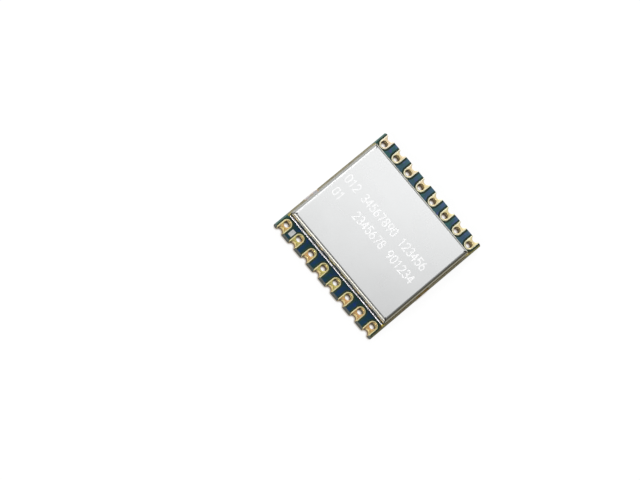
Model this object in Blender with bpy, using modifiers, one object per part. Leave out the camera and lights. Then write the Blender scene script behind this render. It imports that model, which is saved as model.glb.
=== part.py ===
"""Surface mount radio module.

A nearly square circuit board carries two columns of plated edge pads. Every pad
has a round through hole and a half round notch at the board edge. A pressed
metal shield covers the chip, the crystal and the small parts. It stands on a
tinned ground ring and is soldered into a plated half slot at each short edge.

X runs across the two pad columns, Y runs along them, Z points out of the shield.
The undersides of the pads lie at z = 0 and the board is centred on the origin.
Pins 1 to 8 run down the minus X column, pins 9 to 16 back up the plus X column.
"""
import math

import bmesh
import bpy
from mathutils import Matrix, Vector

# Every size below is in millimetres
MM = 0.001
FIT = 0.01                # clearance between solids that touch

# Board
BOARD_W = 15.8            # across the pad columns
CORE_T = 1.10             # glass fibre core
COPPER_T = 0.04           # plated land
MASK_T = 0.025            # solder mask
MASK_OPENING = 0.06       # mask stands back from a land by this much
SCORE_W = 0.18            # bevel left by the scored cut on the short edges, across
SCORE_D = 0.30            # the same bevel, down from each face

# Edge pads
PADS_PER_SIDE = 8
PAD_PITCH = 2.0
PAD_END_MARGIN = 0.9      # last pad's middle to the board's short edge
HOLE_R = 0.36
LAND_RING = 0.19          # land width round the hole
NOTCH_R = 0.42
NOTCH_DEPTH = 0.35
HOLE_TO_NOTCH = 0.24      # land left between the hole and the notch
PLATING_T = 0.05

# Shield
SHIELD_H = 1.19
SHIELD_END_MARGIN = 0.30  # wall to the board's short edge
SHEET_T = 0.20
INNER_BEND_R = 0.23
CORNER_SLIT = 0.10        # cut that parts two folded walls at each corner

# Tinned ground ring under the shield wall
RING_TO_LAND = 0.15       # ring to the tip of a land
RING_SHOWS = 0.16         # part of the ring outside the wall, pad sides
RING_WITHIN = 0.25        # part of the ring inside the wall

# Shield tabs and their plated half slots
TAB_W = 1.2
TAB_X_PLUS_Y = -2.8       # tab middle on the plus Y edge
TAB_X_MINUS_Y = -0.47     # tab middle on the minus Y edge
TAB_THINNED = 0.01        # each face of a tab lies this far inside the wall's face
TAB_RECESS = 0.14         # tab end above the underside
TAB_SIDE_GAP = 0.275      # tab to plating, each side
TAB_BACK_GAP = 0.05       # wall's inner face to plating
SLOT_CORNER_R = 0.28
SLOT_LAND = 0.16          # land width round a slot
SOLDER_RECESS = 0.12      # solder stands back from the faces and the edge of the board

# Parts under the shield: sizes, and places as shares of the room from the middle to the wall
CHIP = (6.0, 6.0, 0.85)
CHIP_AT = (-0.22, 0.30)
CRYSTAL = (2.5, 3.2, 0.38)
CRYSTAL_AT = (0.66, 0.58)
CRYSTAL_LID_H = 0.26
CRYSTAL_LID_INSET = 0.18
SWITCH = (1.25, 2.0, 0.80)
SWITCH_AT = (0.44, -0.64)
SWITCH_LEADS = 3          # on each long side
LEAD = (0.42, 0.22, 0.14)
LEAD_IN_BODY = 0.12
LEAD_PITCH = 0.65
CHIP_EDGE = 0.03          # width of the worn edge on moulded bodies
LID_EDGE = 0.06

# Two terminal parts: length, width, height, end cap, step between cap and body
INDUCTOR = (1.6, 0.8, 0.8, 0.32, 0.02)
CAPACITOR = (1.0, 0.5, 0.5, 0.22, 0.015)
RESISTOR = (1.0, 0.5, 0.35, 0.20, 0.015)
INDUCTORS_AT = [(-0.76, -0.28, False), (-0.38, -0.28, False), (0.0, -0.28, False),
                (0.80, -0.64, True)]
CAPACITORS_AT = [(-0.80, -0.47, False), (-0.52, -0.47, False), (-0.24, -0.47, False),
                 (0.04, -0.47, False), (-0.80, -0.63, False), (-0.52, -0.63, False),
                 (-0.88, 0.53, True), (-0.88, 0.30, True), (-0.54, 0.84, False),
                 (-0.22, 0.84, False)]
RESISTORS_AT = [(0.50, 0.23, False), (0.78, 0.23, False), (0.50, 0.07, False)]

# Facets
HOLE_SEGMENTS = 20
LAND_SEGMENTS = 10        # of a half circle
NOTCH_SEGMENTS = 18
CORNER_SEGMENTS = 4
BEND_SEGMENTS = 4
INNER_BEND_SEGMENTS = 2
SMOOTH_BELOW = math.radians(35)
THROUGH = 1.0             # a cutter runs past what it cuts by this much

# Sizes and levels that follow
BOARD_L = (PADS_PER_SIDE - 1) * PAD_PITCH + 2 * PAD_END_MARGIN
EDGE_X = BOARD_W / 2
EDGE_Y = BOARD_L / 2
PAD_INSET = NOTCH_DEPTH + HOLE_TO_NOTCH + HOLE_R
PAD_X = EDGE_X - PAD_INSET
PAD_HALF_W = HOLE_R + LAND_RING
NOTCH_X = PAD_INSET + NOTCH_R - NOTCH_DEPTH
RING_X = PAD_X - PAD_HALF_W - RING_TO_LAND
WALL_X = RING_X - RING_SHOWS
WALL_Y = EDGE_Y - SHIELD_END_MARGIN
RING_Y = EDGE_Y - SCORE_W  # the ring runs out to the bevel
RING_IN_X = WALL_X - SHEET_T - RING_WITHIN
RING_IN_Y = WALL_Y - SHEET_T - RING_WITHIN
BEND_R = SHEET_T + INNER_BEND_R
TAB_OUTER_Y = -SHIELD_END_MARGIN - TAB_THINNED
TAB_INNER_Y = -SHIELD_END_MARGIN - SHEET_T + TAB_THINNED
SLOT_W = TAB_W + 2 * TAB_SIDE_GAP
SLOT_DEPTH = SHIELD_END_MARGIN + SHEET_T + TAB_BACK_GAP

Z_CORE0 = COPPER_T + FIT
Z_CORE1 = Z_CORE0 + CORE_T
Z_FACE = Z_CORE1 + FIT
Z_LAND = Z_FACE + COPPER_T
Z_SHIELD0 = Z_LAND + FIT
Z_SHIELD1 = Z_SHIELD0 + SHIELD_H
Z_PART = Z_FACE + MASK_T + FIT

# Each pad: its hole's middle and its turn about Z
FIRST_PAD_Y = (PADS_PER_SIDE - 1) * PAD_PITCH / 2
PADS = [(-PAD_X, FIRST_PAD_Y - i * PAD_PITCH, math.pi) for i in range(PADS_PER_SIDE)]
PADS += [(PAD_X, i * PAD_PITCH - FIRST_PAD_Y, 0.0) for i in range(PADS_PER_SIDE)]

# Each slot: its name, its middle on the board's edge and its turn about Z
SLOTS = [("plus_y", TAB_X_PLUS_Y, EDGE_Y, 0.0), ("minus_y", TAB_X_MINUS_Y, -EDGE_Y, math.pi)]


for old in list(bpy.data.objects):
    bpy.data.objects.remove(old, do_unlink=True)

module = bpy.data.collections.new("radio_module")
cutters = bpy.data.collections.new("cutters")
bpy.context.scene.collection.children.link(module)
bpy.context.scene.collection.children.link(cutters)


def material(name, color, metallic, roughness):
    mat = bpy.data.materials.new(name)
    mat.use_nodes = True
    shader = mat.node_tree.nodes["Principled BSDF"]
    shader.inputs["Base Color"].default_value = (*color, 1.0)
    shader.inputs["Metallic"].default_value = metallic
    shader.inputs["Roughness"].default_value = roughness
    return mat


FIBRE = material("glass_fibre", (0.30, 0.31, 0.20), 0.0, 0.6)
MASK = material("solder_mask_blue", (0.01, 0.09, 0.22), 0.0, 0.3)
GOLD = material("gold_plating", (0.85, 0.62, 0.25), 1.0, 0.3)
TIN = material("tinned_copper", (0.78, 0.78, 0.76), 1.0, 0.3)
SHEET = material("shield_sheet", (0.72, 0.73, 0.74), 1.0, 0.4)
SOLDER = material("solder", (0.66, 0.66, 0.66), 1.0, 0.35)
EPOXY = material("chip_epoxy", (0.02, 0.02, 0.022), 0.0, 0.55)
CERAMIC = material("crystal_ceramic", (0.25, 0.22, 0.20), 0.0, 0.6)
LID = material("crystal_lid_metal", (0.70, 0.68, 0.62), 1.0, 0.3)
FERRITE = material("inductor_body", (0.16, 0.16, 0.19), 0.0, 0.6)
DIELECTRIC = material("capacitor_body", (0.42, 0.30, 0.19), 0.0, 0.5)
FILM = material("resistor_body", (0.03, 0.03, 0.035), 0.0, 0.45)


def add_part(name, mesh, mat, x=0.0, y=0.0, z=0.0, turn=0.0):
    """Place a mesh as one of the module's pieces."""
    obj = bpy.data.objects.new(name, mesh)
    obj.location = Vector((x, y, z)) * MM
    obj.rotation_euler.z = turn
    module.objects.link(obj)
    if not mesh.materials:
        mesh.materials.append(mat)
    return obj


def add_cutter(name, mesh, x=0.0, y=0.0, z=0.0):
    obj = bpy.data.objects.new(name, mesh)
    obj.location = Vector((x, y, z)) * MM
    obj.hide_render = True
    obj.display_type = "WIRE"
    cutters.objects.link(obj)
    return obj


def to_mesh(bm, name):
    bmesh.ops.recalc_face_normals(bm, faces=bm.faces[:])
    mesh = bpy.data.meshes.new(name)
    bm.to_mesh(mesh)
    bm.free()
    return mesh


def box_into(bm, x0, x1, y0, y1, z0, z1):
    middle = Vector((x0 + x1, y0 + y1, z0 + z1)) * MM / 2
    size = Matrix.Diagonal((*(Vector((x1 - x0, y1 - y0, z1 - z0)) * MM), 1.0))
    return bmesh.ops.create_cube(bm, size=1.0, matrix=Matrix.Translation(middle) @ size)["verts"]


def rod_into(bm, x, y, radius, segments, z0, z1):
    """Upright rod with a flat, not a corner, towards each axis."""
    turn = Matrix.Rotation(math.pi / segments, 4, "Z")
    place = Matrix.Translation(Vector((x, y, (z0 + z1) / 2)) * MM) @ turn
    bmesh.ops.create_cone(bm, cap_ends=True, segments=segments, radius1=radius * MM,
                          radius2=radius * MM, depth=(z1 - z0) * MM, matrix=place)


def outline_into(bm, outline, z0, z1):
    """Fill an outline and pull it up from z0 to z1."""
    verts = [bm.verts.new(Vector((x, y, z0)) * MM) for x, y in outline]
    face = bm.faces.new(verts)
    pulled = bmesh.ops.extrude_face_region(bm, geom=[face], use_keep_orig=True)
    top = [item for item in pulled["geom"] if isinstance(item, bmesh.types.BMVert)]
    bmesh.ops.translate(bm, verts=top, vec=(0, 0, (z1 - z0) * MM))


def box(name, x0, x1, y0, y1, z0, z1):
    bm = bmesh.new()
    box_into(bm, x0, x1, y0, y1, z0, z1)
    return to_mesh(bm, name)


def rod(name, x, y, radius, segments, z0, z1):
    bm = bmesh.new()
    rod_into(bm, x, y, radius, segments, z0, z1)
    return to_mesh(bm, name)


def outline(name, points, z0, z1):
    bm = bmesh.new()
    outline_into(bm, points, z0, z1)
    return to_mesh(bm, name)


def land_outline(half_w, x_edge):
    """Outline of a pad: a round end about the hole's middle, straight sides out to x_edge."""
    steps = range(LAND_SEGMENTS + 1)
    angles = [math.pi / 2 + math.pi * i / LAND_SEGMENTS for i in steps]
    end = [(half_w * math.cos(a), half_w * math.sin(a)) for a in angles]
    return end + [(x_edge, -half_w), (x_edge, half_w)]


def slot_outline(grow, y_out):
    """Outline of a half slot that is open towards plus Y, with the board's edge at y = 0."""
    half = SLOT_W / 2 + grow
    depth = SLOT_DEPTH + grow
    radius = SLOT_CORNER_R + grow
    points = [(half, y_out), (-half, y_out)]
    for side, start in ((-1, math.pi), (1, 1.5 * math.pi)):
        for i in range(CORNER_SEGMENTS + 1):
            a = start + 0.5 * math.pi * i / CORNER_SEGMENTS
            points.append((side * (half - radius) + radius * math.cos(a),
                           radius - depth + radius * math.sin(a)))
    return points


def turned(points, x, y, turn):
    spin = Matrix.Rotation(turn, 2)
    return [tuple(spin @ Vector(point) + Vector((x, y))) for point in points]


def boolean(obj, tool, operation="DIFFERENCE"):
    mod = obj.modifiers.new(operation.lower(), "BOOLEAN")
    mod.operation = operation
    mod.solver = "EXACT"
    mod.object = tool


def settled(obj, name):
    """The object's mesh with its modifiers worked in, its round faces shaded smooth."""
    graph = bpy.context.evaluated_depsgraph_get()
    mesh = bpy.data.meshes.new_from_object(obj.evaluated_get(graph), depsgraph=graph)
    mesh.name = name
    mesh.materials.clear()
    mesh.shade_smooth()
    mesh.set_sharp_from_angle(angle=SMOOTH_BELOW)
    return mesh


# Plated edge pad: two lands joined by the hole's plating and the notch's plating.
# It is drawn once, with its hole's middle at the origin and its edge towards plus X.
def edge_pad_mesh():
    pad = add_cutter("pad", outline("pad", land_outline(PAD_HALF_W, PAD_INSET), 0, Z_LAND))
    between = add_cutter("pad_between_lands",
                         box("pad_between_lands", -THROUGH, PAD_INSET + THROUGH, -THROUGH, THROUGH,
                             COPPER_T, Z_FACE))
    tools = {}
    for name, x, radius, segments in (("hole", 0, HOLE_R, HOLE_SEGMENTS),
                                      ("notch", NOTCH_X, NOTCH_R, NOTCH_SEGMENTS)):
        plated = name + "_plating"
        tools[name] = add_cutter(name, rod(name, x, 0, radius, segments, -THROUGH, Z_LAND + THROUGH))
        tools[plated] = add_cutter(plated, rod(plated, x, 0, radius + PLATING_T, segments,
                                               -THROUGH, Z_LAND + THROUGH))
    boolean(between, tools["hole_plating"])
    boolean(between, tools["notch_plating"])
    boolean(pad, between)
    boolean(pad, tools["hole"])
    boolean(pad, tools["notch"])
    return settled(pad, "edge_pad")


pad_mesh = edge_pad_mesh()
for number, (x, y, turn) in enumerate(PADS, start=1):
    add_part("edge_pad_%02d" % number, pad_mesh, GOLD, x, y, 0, turn)


# The board is parted from its panel along a score, which leaves a bevel above and below
def score_cutter(name, edge_y, sides):
    """Wedges along X that bevel the edge at edge_y, above and below, on each given side."""
    wedge = [(-SCORE_W, 0), (0, -SCORE_D), (THROUGH, -SCORE_D), (THROUGH, THROUGH), (-SCORE_W, THROUGH)]
    bm = bmesh.new()
    for side in sides:
        for face, way in ((Z_CORE1, 1), (Z_CORE0, -1)):
            points = [(side * (edge_y + y), face + way * z) for y, z in wedge]
            outline_into(bm, points, -BOARD_W, BOARD_W)
    mesh = to_mesh(bm, name)
    # The outlines are drawn in XY and pulled up Z. This turn sends XY to YZ and Z to X.
    mesh.transform(Matrix(((0, 0, 1, 0), (1, 0, 0, 0), (0, 1, 0, 0), (0, 0, 0, 1))))
    return add_cutter(name, mesh)


board_score = score_cutter("board_score", EDGE_Y, (-1, 1))
slot_score = score_cutter("slot_score", 0, (1,))


# Board core, drilled and slotted for the plating
def core_openings():
    grow = PLATING_T + FIT
    bm = bmesh.new()
    for x, y, turn in PADS:
        notch_x = x + NOTCH_X * math.cos(turn)
        rod_into(bm, x, y, HOLE_R + grow, HOLE_SEGMENTS, -THROUGH, Z_CORE1 + THROUGH)
        rod_into(bm, notch_x, y, NOTCH_R + grow, NOTCH_SEGMENTS, -THROUGH, Z_CORE1 + THROUGH)
    for _, x, y, turn in SLOTS:
        outline_into(bm, turned(slot_outline(grow, THROUGH), x, y, turn), -THROUGH, Z_CORE1 + THROUGH)
    return add_cutter("core_openings", to_mesh(bm, "core_openings"))


board = add_part("circuit_board", box("circuit_board", -EDGE_X, EDGE_X, -EDGE_Y, EDGE_Y,
                                      Z_CORE0, Z_CORE1), FIBRE)
boolean(board, core_openings())
boolean(board, board_score)


# Solder mask, open round every land. On the shield side it ends at the ground ring.
def pad_openings_into(bm):
    half_w = PAD_HALF_W + MASK_OPENING
    for x, y, turn in PADS:
        points = turned(land_outline(half_w, PAD_INSET + THROUGH), x, y, turn)
        outline_into(bm, points, -THROUGH, Z_LAND + THROUGH)


def shield_side_openings():
    bm = bmesh.new()
    pad_openings_into(bm)
    return add_cutter("shield_side_openings", to_mesh(bm, "shield_side_openings"))


def underside_openings():
    bm = bmesh.new()
    pad_openings_into(bm)
    for _, x, y, turn in SLOTS:
        points = turned(slot_outline(SLOT_LAND + MASK_OPENING, THROUGH), x, y, turn)
        outline_into(bm, points, -THROUGH, Z_LAND + THROUGH)
    return add_cutter("underside_openings", to_mesh(bm, "underside_openings"))


beside_pads = shield_side_openings()
rim_x = RING_X + FIT
for name, x0, x1 in (("solder_mask_minus_x", -EDGE_X, -rim_x), ("solder_mask_plus_x", rim_x, EDGE_X)):
    rim = add_part(name, box(name, x0, x1, -EDGE_Y, EDGE_Y, Z_FACE, Z_FACE + MASK_T), MASK)
    boolean(rim, beside_pads)
    boolean(rim, board_score)

floor_x = RING_IN_X - FIT
floor_y = RING_IN_Y - FIT
add_part("solder_mask_floor", box("solder_mask_floor", -floor_x, floor_x, -floor_y, floor_y,
                                  Z_FACE, Z_FACE + MASK_T), MASK)
under = add_part("solder_mask_underside",
                 box("solder_mask_underside", -EDGE_X, EDGE_X, -EDGE_Y, EDGE_Y,
                     COPPER_T - MASK_T, COPPER_T), MASK)
boolean(under, underside_openings())
boolean(under, board_score)


# Ground ring, open where the tabs pass through
def ring_openings():
    bm = bmesh.new()
    box_into(bm, -RING_IN_X, RING_IN_X, -RING_IN_Y, RING_IN_Y, -THROUGH, Z_LAND + THROUGH)
    for _, x, y, turn in SLOTS:
        outline_into(bm, turned(slot_outline(0, THROUGH), x, y, turn), -THROUGH, Z_LAND + THROUGH)
    return add_cutter("ring_openings", to_mesh(bm, "ring_openings"))


ring = add_part("ground_ring", box("ground_ring", -RING_X, RING_X, -RING_Y, RING_Y,
                                   Z_FACE, Z_LAND), TIN)
boolean(ring, ring_openings())


# Plated half slot: its wall runs up through the core, its land lies on the underside
def slot_plating_mesh():
    body = add_cutter("slot", outline("slot", slot_outline(SLOT_LAND, 0), 0, Z_CORE1))
    above = add_cutter("slot_above_land", box("slot_above_land", -BOARD_W, BOARD_W, -BOARD_L, BOARD_L,
                                              COPPER_T, Z_CORE1 + THROUGH))
    wall = outline("slot_wall", slot_outline(PLATING_T, THROUGH), -THROUGH, Z_LAND + THROUGH)
    room = outline("slot_room", slot_outline(0, THROUGH), -THROUGH, Z_LAND + THROUGH)
    boolean(above, add_cutter("slot_wall", wall))
    boolean(body, above)
    boolean(body, add_cutter("slot_room", room))
    boolean(body, slot_score)
    return settled(body, "slot_plating")


# Solder between the tab and the plating
def tab_solder_mesh():
    solder = outline("tab_solder", slot_outline(-FIT, -SOLDER_RECESS), SOLDER_RECESS,
                     Z_CORE1 - SOLDER_RECESS)
    body = add_cutter("tab_solder", solder)
    passage = box("tab_passage", -TAB_W / 2 - FIT, TAB_W / 2 + FIT, TAB_INNER_Y - FIT, TAB_OUTER_Y + FIT,
                  -THROUGH, Z_LAND + THROUGH)
    boolean(body, add_cutter("tab_passage", passage))
    return settled(body, "tab_solder")


plating_mesh = slot_plating_mesh()
solder_mesh = tab_solder_mesh()
for side, x, y, turn in SLOTS:
    add_part("tab_slot_plating_" + side, plating_mesh, GOLD, x, y, 0, turn)
    add_part("tab_solder_" + side, solder_mesh, SOLDER, x, y, 0, turn)


# Shield: one sheet with its four sides folded down, slit at the corners, with a tab on each
# short side
def folded_box(name, half_x, half_y, z0, z1, radius, segments):
    """Box with four bent upper edges, sharp upright edges and a sharp lower rim."""
    bm = bmesh.new()
    box_into(bm, -half_x, half_x, -half_y, half_y, z0, z1)
    middle = (z0 + z1) / 2 * MM
    edges = [e for e in bm.edges if min(v.co.z for v in e.verts) > middle]
    bmesh.ops.bevel(bm, geom=edges, offset=radius * MM, segments=segments, profile=0.5,
                    affect="EDGES", clamp_overlap=True)
    return add_cutter(name, to_mesh(bm, name))


def corner_slits():
    """Upright cuts that run out from each corner of the flat."""
    half = CORNER_SLIT / 2
    cut = [(-half, -half), (THROUGH, -half), (THROUGH, half), (-half, half)]
    bm = bmesh.new()
    for x_side, y_side in ((1, 1), (-1, 1), (-1, -1), (1, -1)):
        points = turned(cut, x_side * (WALL_X - BEND_R), y_side * (WALL_Y - BEND_R),
                        math.atan2(y_side, x_side))
        outline_into(bm, points, Z_SHIELD0 - THROUGH, Z_SHIELD1 + THROUGH)
    return add_cutter("corner_slits", to_mesh(bm, "corner_slits"))


def shield_tabs():
    bm = bmesh.new()
    for _, x, y, turn in SLOTS:
        tab = [(-TAB_W / 2, TAB_INNER_Y), (TAB_W / 2, TAB_INNER_Y),
               (TAB_W / 2, TAB_OUTER_Y), (-TAB_W / 2, TAB_OUTER_Y)]
        outline_into(bm, turned(tab, x, y, turn), TAB_RECESS, Z_SHIELD0 + SHEET_T)
    return add_cutter("shield_tabs", to_mesh(bm, "shield_tabs"))


def shield_mesh():
    body = folded_box("shield", WALL_X, WALL_Y, Z_SHIELD0, Z_SHIELD1, BEND_R, BEND_SEGMENTS)
    hollow = folded_box("shield_hollow", WALL_X - SHEET_T, WALL_Y - SHEET_T, Z_SHIELD0 - THROUGH,
                        Z_SHIELD1 - SHEET_T, INNER_BEND_R, INNER_BEND_SEGMENTS)
    boolean(body, hollow)
    boolean(body, corner_slits())
    boolean(body, shield_tabs(), "UNION")
    return settled(body, "shield_can")


add_part("shield_can", shield_mesh(), SHEET)


# Parts under the shield
ROOM_X = WALL_X - SHEET_T
ROOM_Y = WALL_Y - SHEET_T


def on_floor(share_x, share_y):
    return share_x * ROOM_X, share_y * ROOM_Y


def body_block(name, size, mat, at, z=Z_PART, edge=0.0):
    """A moulded or pressed body, its edges broken by a narrow bevel."""
    half_x, half_y = size[0] / 2, size[1] / 2
    obj = add_part(name, box(name, -half_x, half_x, -half_y, half_y, 0, size[2]), mat, *at, z)
    if edge:
        mod = obj.modifiers.new("broken_edges", "BEVEL")
        mod.width = edge * MM
        mod.segments = 1
    return obj


def two_terminal_mesh(name, length, width, height, cap, step):
    """Chip part lying along X. Its end caps stand proud of the body above and below."""
    a = length / 2
    b = a - cap
    profile = [(-a, 0), (-b, 0), (-b, step), (b, step), (b, 0), (a, 0),
               (a, height), (b, height), (b, height - step), (-b, height - step),
               (-b, height), (-a, height)]
    mesh = outline(name, profile, -width / 2, width / 2)
    mesh.transform(Matrix.Rotation(math.pi / 2, 4, "X"))
    return mesh


def add_two_terminal_parts(name, size, mat, places):
    mesh = two_terminal_mesh(name, *size)
    for number, (share_x, share_y, upright) in enumerate(places, start=1):
        turn = math.pi / 2 if upright else 0.0
        add_part("%s_%02d" % (name, number), mesh, mat, *on_floor(share_x, share_y), Z_PART, turn)


def switch_leads(x, y):
    """Three flat leads on each long side of the antenna switch."""
    bm = bmesh.new()
    reach = SWITCH[0] / 2 - LEAD_IN_BODY
    for i in range(SWITCH_LEADS):
        lead_y = (i - (SWITCH_LEADS - 1) / 2) * LEAD_PITCH
        for x0, x1 in ((-reach - LEAD[0], -reach), (reach, reach + LEAD[0])):
            box_into(bm, x0, x1, lead_y - LEAD[1] / 2, lead_y + LEAD[1] / 2, FIT, LEAD[2])
    return add_cutter("switch_leads", to_mesh(bm, "switch_leads"), x, y, Z_PART)


body_block("radio_chip", CHIP, EPOXY, on_floor(*CHIP_AT), edge=CHIP_EDGE)
body_block("crystal_base", CRYSTAL, CERAMIC, on_floor(*CRYSTAL_AT), edge=CHIP_EDGE)
lid = (CRYSTAL[0] - 2 * CRYSTAL_LID_INSET, CRYSTAL[1] - 2 * CRYSTAL_LID_INSET, CRYSTAL_LID_H)
body_block("crystal_lid", lid, LID, on_floor(*CRYSTAL_AT), Z_PART + CRYSTAL[2] + FIT, LID_EDGE)
antenna_switch = body_block("antenna_switch", SWITCH, EPOXY, on_floor(*SWITCH_AT))
boolean(antenna_switch, switch_leads(*on_floor(*SWITCH_AT)), "UNION")

add_two_terminal_parts("inductor", INDUCTOR, FERRITE, INDUCTORS_AT)
add_two_terminal_parts("capacitor", CAPACITOR, DIELECTRIC, CAPACITORS_AT)
add_two_terminal_parts("resistor", RESISTOR, FILM, RESISTORS_AT)
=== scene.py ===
"""Looks of a small surface mount radio module.

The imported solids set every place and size. This file gives them their finishes, and
adds what is too fine for them: rounded plating, solder, tracks under the mask, print.
"""
import math
import random
from collections import namedtuple

import bmesh
import bpy
from bpy.props import FloatProperty, FloatVectorProperty, PointerProperty, StringProperty
from mathutils import Matrix, Vector


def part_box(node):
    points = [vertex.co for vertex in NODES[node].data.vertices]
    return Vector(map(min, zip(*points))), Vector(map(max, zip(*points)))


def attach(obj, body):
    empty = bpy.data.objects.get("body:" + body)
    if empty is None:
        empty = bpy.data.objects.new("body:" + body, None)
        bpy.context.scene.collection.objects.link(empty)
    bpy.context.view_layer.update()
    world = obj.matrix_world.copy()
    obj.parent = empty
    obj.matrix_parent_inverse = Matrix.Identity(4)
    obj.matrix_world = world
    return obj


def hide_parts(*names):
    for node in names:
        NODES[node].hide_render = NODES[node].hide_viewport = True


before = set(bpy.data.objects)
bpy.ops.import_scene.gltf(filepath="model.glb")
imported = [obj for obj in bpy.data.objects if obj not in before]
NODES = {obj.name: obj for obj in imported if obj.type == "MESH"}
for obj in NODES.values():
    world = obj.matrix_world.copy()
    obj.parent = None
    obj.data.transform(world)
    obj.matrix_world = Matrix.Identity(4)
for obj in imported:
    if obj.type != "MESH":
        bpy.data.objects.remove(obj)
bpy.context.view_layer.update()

bl_info = {
    "name": "Radio module looks",
    "version": (1, 0, 0),
    "blender": (4, 5, 0),
    "location": "3D View > Sidebar > Radio Module",
    "description": "Finishes and fine pieces of a small surface mount radio module",
    "category": "Object",
}

MM = 0.001


def box_mm(node):
    """Lowest and highest corner of a solid, in millimetres."""
    low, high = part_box(node)
    return low / MM, high / MM


BOARD_HIGH = box_mm("circuit_board")[1]
SHIELD_HIGH = box_mm("shield_can")[1]
RING_HIGH = box_mm("ground_ring")[1]
PAD_LOW, PAD_HIGH = box_mm("edge_pad_01")
SLOT_LOW, SLOT_HIGH = box_mm("tab_slot_plating_plus_y")
MASK_LOW, MASK_HIGH = box_mm("solder_mask_plus_x")
UNDER_FACE = box_mm("solder_mask_underside")[0].z
PAD_HALF_W = (PAD_HIGH.y - PAD_LOW.y) / 2
PAD_INSET = PAD_HIGH.x - PAD_LOW.x - PAD_HALF_W   # board's edge to the hole's middle

# Sizes that the solids' boxes don't give, in millimetres
SHEET_T = 0.20
INNER_BEND_R = 0.23
CORNER_SLIT = 0.10
TAB_W = 1.2
TAB_THINNED = 0.01
TAB_RECESS = 0.14
FOOT_GAP = 0.01           # between the ground ring and the shield
MASK_OPENING = 0.06
PLATING_T = 0.05
COPPER_T = 0.04
SLOT_LAND = 0.16
SLOT_CORNER_R = 0.28
SOLDER_GAP = 0.005        # between the solder and the slot's plating
SOLDER_RECESS = 0.02      # from the board's edge to the solder

# Heights and slopes of the finest layers, in millimetres
SUNK = 0.002              # a layer starts this far inside what carries it
GAP_RISE = 0.0015
GAP_RING_RISE = 0.0018    # bare rings lie over bare tracks
TRACK_RISE = 0.006
VIA_RISE = 0.0066         # vias lie over tracks
PRINT_RISE = 0.011
MARK_RISE = 0.003
MARK_SUNK = 0.001
SHIELD_TOP_ROOM = 0.004   # room left over the shield for its marks
TRACK_SLOPE = 0.03
PRINT_SLOPE = 0.02
MARK_SLOPE = 0.012
SHIELD_TOP = SHIELD_HIGH.z - SHIELD_TOP_ROOM

# Levels of a thin layer's foot and top, and how far its sides lean in
Layer = namedtuple("Layer", "base top slope")


# Settings

class RadioModuleSizes(bpy.types.PropertyGroup):
    """Sizes of the visible pieces."""
    hole_radius: FloatProperty(
        name="Hole radius", description="Radius of the holes in the edge pads",
        default=0.36 * MM, unit="LENGTH", precision=6)
    notch_radius: FloatProperty(
        name="Notch radius", description="Radius of the half round notches at the board's edge",
        default=0.42 * MM, unit="LENGTH", precision=6)
    notch_depth: FloatProperty(
        name="Notch depth", description="How deep a notch reaches into the board",
        default=0.35 * MM, unit="LENGTH", precision=6)
    rim_round: FloatProperty(
        name="Rim rounding", description="Rounding of the plated copper's edges",
        default=0.028 * MM, unit="LENGTH", precision=6)
    hole_round: FloatProperty(
        name="Hole rounding", description="Rounding of the plating where it runs down a hole",
        default=0.05 * MM, unit="LENGTH", precision=6)
    bend_radius: FloatProperty(
        name="Bend radius", description="Outer radius of the shield's bends",
        default=0.43 * MM, unit="LENGTH", precision=6)
    track_width: FloatProperty(
        name="Track width", description="Width of the copper tracks under the mask",
        default=0.20 * MM, unit="LENGTH", precision=6)
    track_gap: FloatProperty(
        name="Track gap", description="Bare laminate beside a track or round a pad",
        default=0.15 * MM, unit="LENGTH", precision=6)
    via_radius: FloatProperty(
        name="Via radius", description="Outer radius of a via's copper ring",
        default=0.23 * MM, unit="LENGTH", precision=6)
    print_line: FloatProperty(
        name="Print line", description="Line width of the white print",
        default=0.15 * MM, unit="LENGTH", precision=6)
    number_height: FloatProperty(
        name="Number height", description="Height of the printed pin numbers",
        default=0.95 * MM, unit="LENGTH", precision=6)
    mark_height: FloatProperty(
        name="Mark height", description="Height of the digits marked on the shield",
        default=0.98 * MM, unit="LENGTH", precision=6)


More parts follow.
